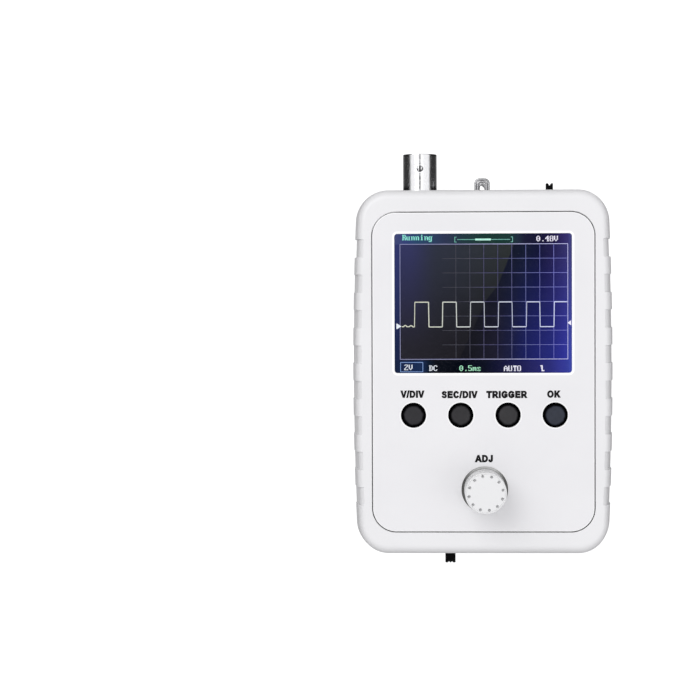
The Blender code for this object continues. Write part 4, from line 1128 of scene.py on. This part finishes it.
def legend(name, text, x0, x1, y0, y1):
    """Printed capitals, fitted to their measured box on the panel."""
    shapes, at = [], 0.0
    for letter in text:
        advance, parts = CAPITALS[letter]
        for outline, holes in parts:
            loops = [outline] if letter == "S" else [heavier(outline, 0.085)] + [heavier(h, 0.06, True) for h in holes]
            shapes.append([[(at + px, (py + 0.085) / 1.17) for px, py in loop] for loop in loops])
        at += advance + 0.085
    xs = [px for shape in shapes for loop in shape for px, _py in loop]
    ax, ay = (x1 - x0) / (max(xs) - min(xs)), y1 - y0
    points, faces = [], []
    z0, z1 = CASE_T + 0.001, CASE_T + 0.014
    for shape in shapes:
        flat = [(x0 + ax * (px - min(xs)), y0 + ay * py) for loop in shape for px, py in loop]
        s, n = len(points), len(flat)
        points += [(*p, z0) for p in flat] + [(*p, z1) for p in flat]
        for tri in tessellate_polygon([[Vector((px, py, 0)) for px, py in loop] for loop in shape]):
            faces += [tuple(s + i for i in tri), tuple(s + n + i for i in reversed(tri))]
        for loop in shape:
            k = len(loop)
            for i in range(k):
                a, b = s + i, s + (i + 1) % k
                faces.append((a, b, b + n, a + n))
            s += k
    return on(make(name, points, faces, INK, smooth=None), "case", "button_black")


legend("legend_vdiv", "V/DIV", -24.2, -17.15, -7.42, -5.27)
legend("legend_secdiv", "SEC/DIV", -12.2, -1.65, -7.55, -5.42)
legend("legend_trigger", "TRIGGER", 0.82, 12.8, -7.55, -5.42)
legend("legend_ok", "OK", 18.5, 22.45, -7.45, -5.33)
legend("legend_adj", "ADJ", -2.58, 2.72, -26.25, -24.1)

# ------------------------------------------------------------------- buttons
for tag, x in zip(BUTTON_NAMES, BUTTON_X):
    top = BUTTON_TOP
    profile = [
        (0, 20.8), (1.4, 20.8), (1.4, 18.3), (4.3, 18.3), (4.3, 19.2), (BUTTON_R, 19.2), (BUTTON_R, top - 0.66),
        *arc(BUTTON_R - 0.5, top - 0.56, 0.5, 4, 80, 9)[1:],
        (2.6, top - 0.04), (2.1, top), (1.2, top - 0.02), (0, top - 0.03),
    ]
    cap = lathe(f"key_{tag}", profile, 96, KEYS[tag], (x, BUTTON_Y, 0), smooth=38)
    on(cap, f"button_{tag}", "button_black", f"button_{tag}")

# ---------------------------------------------------------------------- knob
KNOB_TOP = 33.8
DIMPLES = [math.radians(11 + 30 * k) for k in range(12)]
DIMPLE_R, DIMPLE_AT, DIMPLE_DEEP = 0.44, 4.94, 1.15


def knob_profile():
    profile = [(4.0, 20.9), (5.9, 20.9), *arc(5.9, 21.05, 0.15, -90, 0, 3), (6.05, 22.6), (6.04, 22.95), (6.03, 23.3)]
    flutes = len(profile)
    for i in range(15):
        z = 23.7 + (31.9 - 23.7) * i / 14
        profile.append((6.02 - 0.03 * i / 14, z))
    flutes_end = len(profile)
    profile += arc(5.68, 33.48, 0.32, 0, 90, 8)
    # a fine groove inside the rim of the top face
    profile += [(5.65, 33.78), (5.59, 33.66), (5.54, 33.62), (5.49, 33.66), (5.44, 33.78)]
    grid = len(profile)
    r = 5.4
    while r > 4.3:
        profile.append((r, KNOB_TOP))
        r -= 0.05
    profile += [(4.2, KNOB_TOP), (3.6, KNOB_TOP), (2.6, KNOB_TOP - 0.02), (1.4, KNOB_TOP - 0.05), (0, KNOB_TOP - 0.06)]
    return profile, flutes, flutes_end, grid


profile, FLUTE_0, FLUTE_1, TOP_0 = knob_profile()


def knob_shape(index, r, z, a):
    if FLUTE_0 <= index < FLUTE_1:
        f = (index - FLUTE_0) / (FLUTE_1 - 1 - FLUTE_0)
        ends = min(1.0, f / 0.12, (1 - f) / 0.12)
        ends = ends * ends * (3 - 2 * ends)
        return r - 0.28 * ends * max(0.0, math.cos(12 * (a - DIMPLES[0]))) ** 3, z
    if index >= TOP_0 and 4.2 < r < 5.42:
        best = min(abs((a - d + math.pi) % (2 * math.pi) - math.pi) for d in DIMPLES)
        dist = math.hypot(r * math.sin(best), r * math.cos(best) - DIMPLE_AT)
        sink = 0.0
        if dist < DIMPLE_R:
            u = dist / DIMPLE_R
            sink = DIMPLE_DEEP * (1 - u**3.5)
        return r, z - sink
    return r, z


# the hollow for the bush and the shaft joins the start and the end of the outside profile
inside = [(0, 32.0), (3.3, 32.0), (3.3, 25.4), (4.0, 25.4)]
SHIFT = len(inside)
knob = lathe(
    "dial", inside + profile, 540, KNOB, (KNOB_X, KNOB_Y, 0), smooth=40,
    shape=lambda i, r, z, a: (r, z) if i < SHIFT else knob_shape(i - SHIFT, r, z, a),
)
on(knob, "knob", "knob_white", "knob")

# -------------------------------------------------------------- input socket
at_bnc = (BNC_X, 0, BNC_Z)
end = BNC_END_Y
profile = [
    (2.75, 49.8), (BNC_R, 49.8), (BNC_R, end - 0.28), *arc(BNC_R - 0.22, end - 0.22, 0.22, 10, 90, 6),
    (BNC_BORE_R + 0.16, end), *arc(BNC_BORE_R + 0.16, end - 0.16, 0.16, 90, 170, 4), (BNC_BORE_R, end - 0.3),
    (BNC_BORE_R, 52.4), (2.75, 52.4),
]
barrel = lathe("socket_barrel", profile, 128, BARREL, at_bnc, TO_PLUS_Y, smooth=35)
adds, cuts = [], []
for side in (1, -1):
    turn = Matrix.Identity(4) if side > 0 else Matrix.Rotation(math.pi, 4, "X")
    lug = [(0, 4.3), (1.0, 4.3), (1.0, 5.2), *arc(0.55, 5.2, 0.45, 0, 90, 8), (0.34, 5.65), (0.3, 5.6), (0.16, 5.32), (0, 5.28)]
    adds.append(lathe(f"bayonet_lug_{side + 1}", lug, 40, None, (BNC_X, BNC_LUG_Y, BNC_Z), turn, smooth=None))
    z = BNC_Z + side * BNC_R
    runs = [(0.21, 53.0, BNC_LUG_Y - 1.2, 0.42)] + [(0.13, y, y + 0.4, 0.3) for y in (60.95, 61.7, 62.35, 62.95)]
    for k, (half, y0, y1, deep) in enumerate(runs):
        loops = [
            [(BNC_X - half * g, y0, z + side * h), (BNC_X + half * g, y0, z + side * h), (BNC_X + half * g, y1, z + side * h), (BNC_X - half * g, y1, z + side * h)]
            for g, h in ((0.9, -deep), (1.1, 0.1))
        ]
        pts, quads = chain(loops)
        quads += [(0, 1, 2, 3), (4, 5, 6, 7)]
        cuts.append(make(f"seam_{side + 1}_{k}", pts, quads, None, smooth=None))
carve(barrel, adds, cuts, smooth=35)
on(barrel, "case", "nickel", "bnc_barrel")
insulator = lathe(
    "socket_insulator",
    [(1.35, 49.9), (2.4, 49.9), (2.4, 61.85), *arc(2.2, 61.9, 0.2, 0, 90, 4), (1.5, 62.1), (1.35, 61.95)],
    64, PTFE, at_bnc, TO_PLUS_Y, smooth=35,
)
on(insulator, "case", "ptfe", "bnc_insulator")
contact = lathe(
    "socket_contact",
    [(0, 49.9), (1.05, 49.9), (1.05, 61.3), *arc(0.9, 61.35, 0.15, 0, 90, 4), (0.74, 61.5), (0.68, 61.4), (0.68, 57.0), (0, 56.7)],
    48, BRASS, at_bnc, TO_PLUS_Y, smooth=35,
)
cuts = [box(f"contact_slit_{k}", BNC_X - 1.3, BNC_X + 1.3, 59.3, 62.0, BNC_Z - 0.11, BNC_Z + 0.11) for k in range(1)]
cuts.append(box("contact_slit_1", BNC_X - 0.11, BNC_X + 0.11, 59.3, 62.0, BNC_Z - 1.3, BNC_Z + 1.3))
carve(contact, (), cuts, smooth=35)
on(contact, "case", "brass", "bnc_contact")


# ------------------------------------------------------------- test terminal
def tube(name, route, r, mat, sides=20):
    """A round wire along a path, with rounded ends."""
    pts = [Vector(p) for p in route]
    up = Vector((0, 0, 1))
    tangents = []
    for i in range(len(pts)):
        a, b = pts[max(0, i - 1)], pts[min(len(pts) - 1, i + 1)]
        tangents.append((b - a).normalized())
    normal = tangents[0].orthogonal().normalized()
    loops = []
    for i, (p, t) in enumerate(zip(pts, tangents)):
        normal = (normal - t * normal.dot(t)).normalized()
        other = t.cross(normal)
        ring = lambda centre, rad: [tuple(centre + normal * (rad * math.cos(2 * math.pi * k / sides)) + other * (rad * math.sin(2 * math.pi * k / sides))) for k in range(sides)]
        if i == 0:
            loops += [ring(p - t * 0.1, r * 0.6), ring(p - t * 0.04, r * 0.92)]
        loops.append(ring(p, r))
        if i == len(pts) - 1:
            loops += [ring(p + t * 0.04, r * 0.92), ring(p + t * 0.1, r * 0.6)]
    points, faces = chain(loops)
    m = sides
    faces += [tuple(range(m)), tuple(range(len(points) - m, len(points)))]
    return make(name, points, faces, mat, smooth=40, weighted=False)


def hoop(half, top, corner, z, steps=9):
    """Up one leg, over a flattened arch and down the other."""
    cy = top - corner
    legs = [(-half, 42.7, z - 2.6), (-half, 42.8, z - 1.6), (-half, 43.2, z - 0.6), (-half, 44.2, z - 0.1), (-half, 46.0, z), (-half, 50.0, z), (-half, cy - 0.4, z)]
    bend = [(-half + corner - corner * math.cos(math.pi / 2 * i / steps), cy + corner * math.sin(math.pi / 2 * i / steps), z) for i in range(steps + 1)]
    left = legs + bend
    return left + [(-px, py, pz) for px, py, pz in reversed(left)]


WIRE_R = 0.33
wires = [
    hoop(1.93, 56.7, 1.2, 9.45),
    hoop(1.29, 56.02, 0.85, 9.4),
    [(-1.55, 52.4, 8.62), (-1.56, 53.4, 8.62), (-1.5, 54.2, 8.62), (-1.3, 54.75, 8.62), (-0.95, 55.15, 8.62), (-0.5, 55.3, 8.62), (-0.05, 55.2, 8.62),
     (0.4, 54.88, 8.62), (0.95, 54.35, 8.62), (1.5, 53.82, 8.62), (1.85, 53.3, 8.62), (1.95, 52.4, 8.62)],
    [(-1.0, 52.4, 8.66), (-1.02, 53.4, 8.75), (-0.98, 54.3, 9.0), (-0.8, 54.95, 9.3), (-0.4, 55.32, 9.4), (0.1, 55.4, 9.4), (0.55, 55.2, 9.4),
     (0.72, 54.8, 9.4), (0.95, 54.3, 9.3), (1.1, 53.6, 9.2), (1.15, 52.4, 9.1)],
]
loop = tube("test_loop", [(x + TERMINAL_X, y, z) for x, y, z in wires[0]], WIRE_R, WIRE)
on(loop, "case", "nickel", "test_terminal")
for i, route in enumerate(wires[1:]):
    on(tube(f"test_loop_turn_{i + 2}", [(x + TERMINAL_X, y, z) for x, y, z in route], WIRE_R, WIRE), "case", "nickel")


# ------------------------------------------------------------------- sliders
def slider(name, x, half, reach, grooves, side):
    half_v, deep = (0.5, 0.7) if side > 0 else (0.3, 0.4)
    outline = [(-2.0, 44.6), (2.0, 44.6), (2.0, 48.8), (half, 48.8), (half, reach - 0.16), (half - 0.05, reach - 0.05), (half - 0.16, reach)]
    for g in grooves:
        outline += [(g + half_v, reach), (g + 0.04, reach - deep), (g - 0.04, reach - deep), (g - half_v, reach)]
    outline += [(-half + 0.16, reach), (-half + 0.05, reach - 0.05), (-half, reach - 0.16), (-half, 48.8), (-2.0, 48.8)]
    if side < 0:
        outline = [(px, -py) for px, py in reversed(outline)]
    return extruded(name, outline, -1.2, 1.2, SWITCH, loc=(x, 0, SWITCH_Z), bevel=0.09, segments=3)


on(slider("coupling_knob", COUPLING_X, 1.02, END_Y + 2.05, (0.0,), 1), "coupling_slider", "switch_black", "coupling_slider")
on(slider("power_knob", POWER_X, 1.5, END_Y + 3.65, (0.45, -0.45), -1), "power_slider", "switch_black", "power_slider")

# -------------------------------------------------------------- power socket
nose = lathe(
    "power_socket_nose",
    [(3.1, 49.95), (4.0, 49.95), (4.0, 52.8), *arc(3.85, 52.8, 0.15, 0, 90, 4), (3.3, 52.95), *arc(3.3, 52.75, 0.2, 90, 180, 4)],
    80, SWITCH, (JACK_X, 0, JACK_Z), TO_MINUS_Y, smooth=35,
)
shell = extruded(
    "power_socket_body", rounded(4.5, (15.5 - 6.5) / 2, 0.35, 4), 37.0, 49.9, SWITCH,
    holes=[circle(3.1, 80, 0, 0.0, 0.01)], loc=(JACK_X, 0, JACK_Z), rot=TO_MINUS_Y,
)
liner = lathe(
    "power_socket_liner", [(0, 42.3), (3.05, 42.3), (3.05, 42.6), (0, 42.6)], 64, SWITCH, (JACK_X, 0, JACK_Z), TO_MINUS_Y, smooth=35,
)
on(nose, "case", "switch_black", "dc_jack")
on(shell, "case", "switch_black")
on(liner, "case", "switch_black")
pin = lathe(
    "power_socket_pin", [(0, 42.8), (1.3, 42.8), (1.3, 43.6), (1.0, 43.8), (1.0, 50.2), *arc(0.6, 50.4, 0.4, 0, 80, 6), (0, 50.8)],
    48, CHROME, (JACK_X, 0, JACK_Z), TO_MINUS_Y, smooth=35,
)
on(pin, "case", "nickel", "dc_jack_pin")

# --------------------------------------------------------------- studio, camera
scene = bpy.context.scene
scene.view_settings.view_transform = "Standard"
scene.view_settings.look = "None"

camera_data = bpy.data.cameras.new("camera")
camera_data.lens, camera_data.sensor_width = 108.34, 36.0
camera_data.clip_start, camera_data.clip_end = 0.01, 20.0
camera = bpy.data.objects.new("camera", camera_data)
camera.location = (-0.01731, 0.02332, 0.6359)
camera.rotation_euler = (math.radians(-1.5670), math.radians(2.0036), math.radians(-0.2075))
scene.collection.objects.link(camera)
scene.camera = camera

floor_mesh = bpy.data.meshes.new("floor")
floor_mesh.from_pydata([(-4, -4, -0.00005), (4, -4, -0.00005), (4, 4, -0.00005), (-4, 4, -0.00005)], [], [(0, 1, 2, 3)])
floor = bpy.data.objects.new("floor", floor_mesh)
paper = Nodes("studio_paper", (0.35, 0.35, 0.35), 0.9)
paper.bump(paper.noise(500.0, 3.0), 0.00003)
paper.glow((1.0, 1.0, 1.0), 0.84)
out = paper.tree.nodes["Material Output"]
see_through = paper.tree.nodes.new("ShaderNodeBsdfTransparent")
chooser = paper.tree.nodes.new("ShaderNodeMixShader")
geometry = paper.tree.nodes.new("ShaderNodeNewGeometry")
paper.link(geometry.outputs["Backfacing"], chooser.inputs[0])
paper.link(paper.bsdf.outputs[0], chooser.inputs[1])
paper.link(see_through.outputs[0], chooser.inputs[2])
paper.link(chooser.outputs[0], out.inputs["Surface"])
floor_mesh.materials.append(paper.mat)
scene.collection.objects.link(floor)
floor.visible_glossy = False
floor.visible_diffuse = False

bounce = bpy.data.objects.new("bounce", bpy.data.meshes.new("bounce"))
bounce.data.from_pydata([(-4, -4, -0.0004), (4, -4, -0.0004), (4, 4, -0.0004), (-4, 4, -0.0004)], [], [(0, 1, 2, 3)])
grey_paper = Nodes("bounce_paper", (0.3, 0.3, 0.3), 0.9)
grey_paper.glow((1.0, 1.0, 1.0), 0.42)
bounce.data.materials.append(grey_paper.mat)
scene.collection.objects.link(bounce)
bounce.visible_camera = False
bounce.visible_glossy = False

# a dark card far above, which only the window's gloss picks up
def card(name, outline, z, rgb, strength):
    mesh = bpy.data.meshes.new(name)
    mesh.from_pydata([(x * MM, y * MM, z * MM) for x, y in outline], [], [tuple(range(len(outline)))])
    obj = bpy.data.objects.new(name, mesh)
    mat = bpy.data.materials.new(name)
    mat.use_nodes = True
    shader = mat.node_tree.nodes["Principled BSDF"]
    shader.inputs["Base Color"].default_value = (0.0, 0.0, 0.0, 1.0)
    shader.inputs["Specular IOR Level"].default_value = 0.0
    shader.inputs["Emission Color"].default_value = (*rgb, 1.0)
    shader.inputs["Emission Strength"].default_value = strength
    mesh.materials.append(mat)
    scene.collection.objects.link(obj)
    return obj


shade = card("card_dark", [(-60, -62), (110, -62), (110, 72), (-60, 72)], 905.0, (0, 0, 0), 0.0)
shade.visible_diffuse = False

world = bpy.data.worlds.new("studio")
world.use_nodes = True
scene.world = world
wt = world.node_tree
coord = wt.nodes.new("ShaderNodeTexCoord")
parts = wt.nodes.new("ShaderNodeSeparateXYZ")
rise = wt.nodes.new("ShaderNodeMapRange")
rise.interpolation_type = "SMOOTHSTEP"
for key, value in zip(("From Min", "From Max", "To Min", "To Max"), (0.2, 0.5, 0.035, 0.88)):
    rise.inputs[key].default_value = value
wt.links.new(coord.outputs["Generated"], parts.inputs[0])
wt.links.new(parts.outputs["Z"], rise.inputs["Value"])
crown = wt.nodes.new("ShaderNodeMapRange")
crown.interpolation_type = "SMOOTHSTEP"
for key, value in zip(("From Min", "From Max", "To Min", "To Max"), (0.86, 0.96, 0.0, 0.22)):
    crown.inputs[key].default_value = value
wt.links.new(parts.outputs["Z"], crown.inputs["Value"])
total = wt.nodes.new("ShaderNodeMath")
wt.links.new(rise.outputs["Result"], total.inputs[0])
wt.links.new(crown.outputs["Result"], total.inputs[1])
depth = wt.nodes.new("ShaderNodeMapRange")
depth.interpolation_type = "SMOOTHSTEP"
for key, value in zip(("From Min", "From Max", "To Min", "To Max"), (-0.55, -0.95, 0.0, 0.12)):
    depth.inputs[key].default_value = value
wt.links.new(parts.outputs["Z"], depth.inputs["Value"])
whole = wt.nodes.new("ShaderNodeMath")
wt.links.new(total.outputs[0], whole.inputs[0])
wt.links.new(depth.outputs["Result"], whole.inputs[1])
background = wt.nodes["Background"]
background.inputs["Color"].default_value = (0.985, 0.985, 1.0, 1.0)
wt.links.new(whole.outputs[0], background.inputs["Strength"])


def softbox(name, at, aim, size, power, colour=(1.0, 1.0, 1.0)):
    data = bpy.data.lights.new(name, "AREA")
    data.shape, data.size, data.energy, data.color = "SQUARE", size, power, colour
    obj = bpy.data.objects.new(name, data)
    obj.location = at
    obj.rotation_euler = (Vector(aim) - Vector(at)).to_track_quat("-Z", "Y").to_euler()
    scene.collection.objects.link(obj)
    return obj


softbox("key", (-0.55, 0.65, 0.95), (0, 0, 0.01), 0.9, 5.2)
softbox("fill", (0.75, -0.35, 0.9), (0, 0, 0.01), 0.7, 1.5)
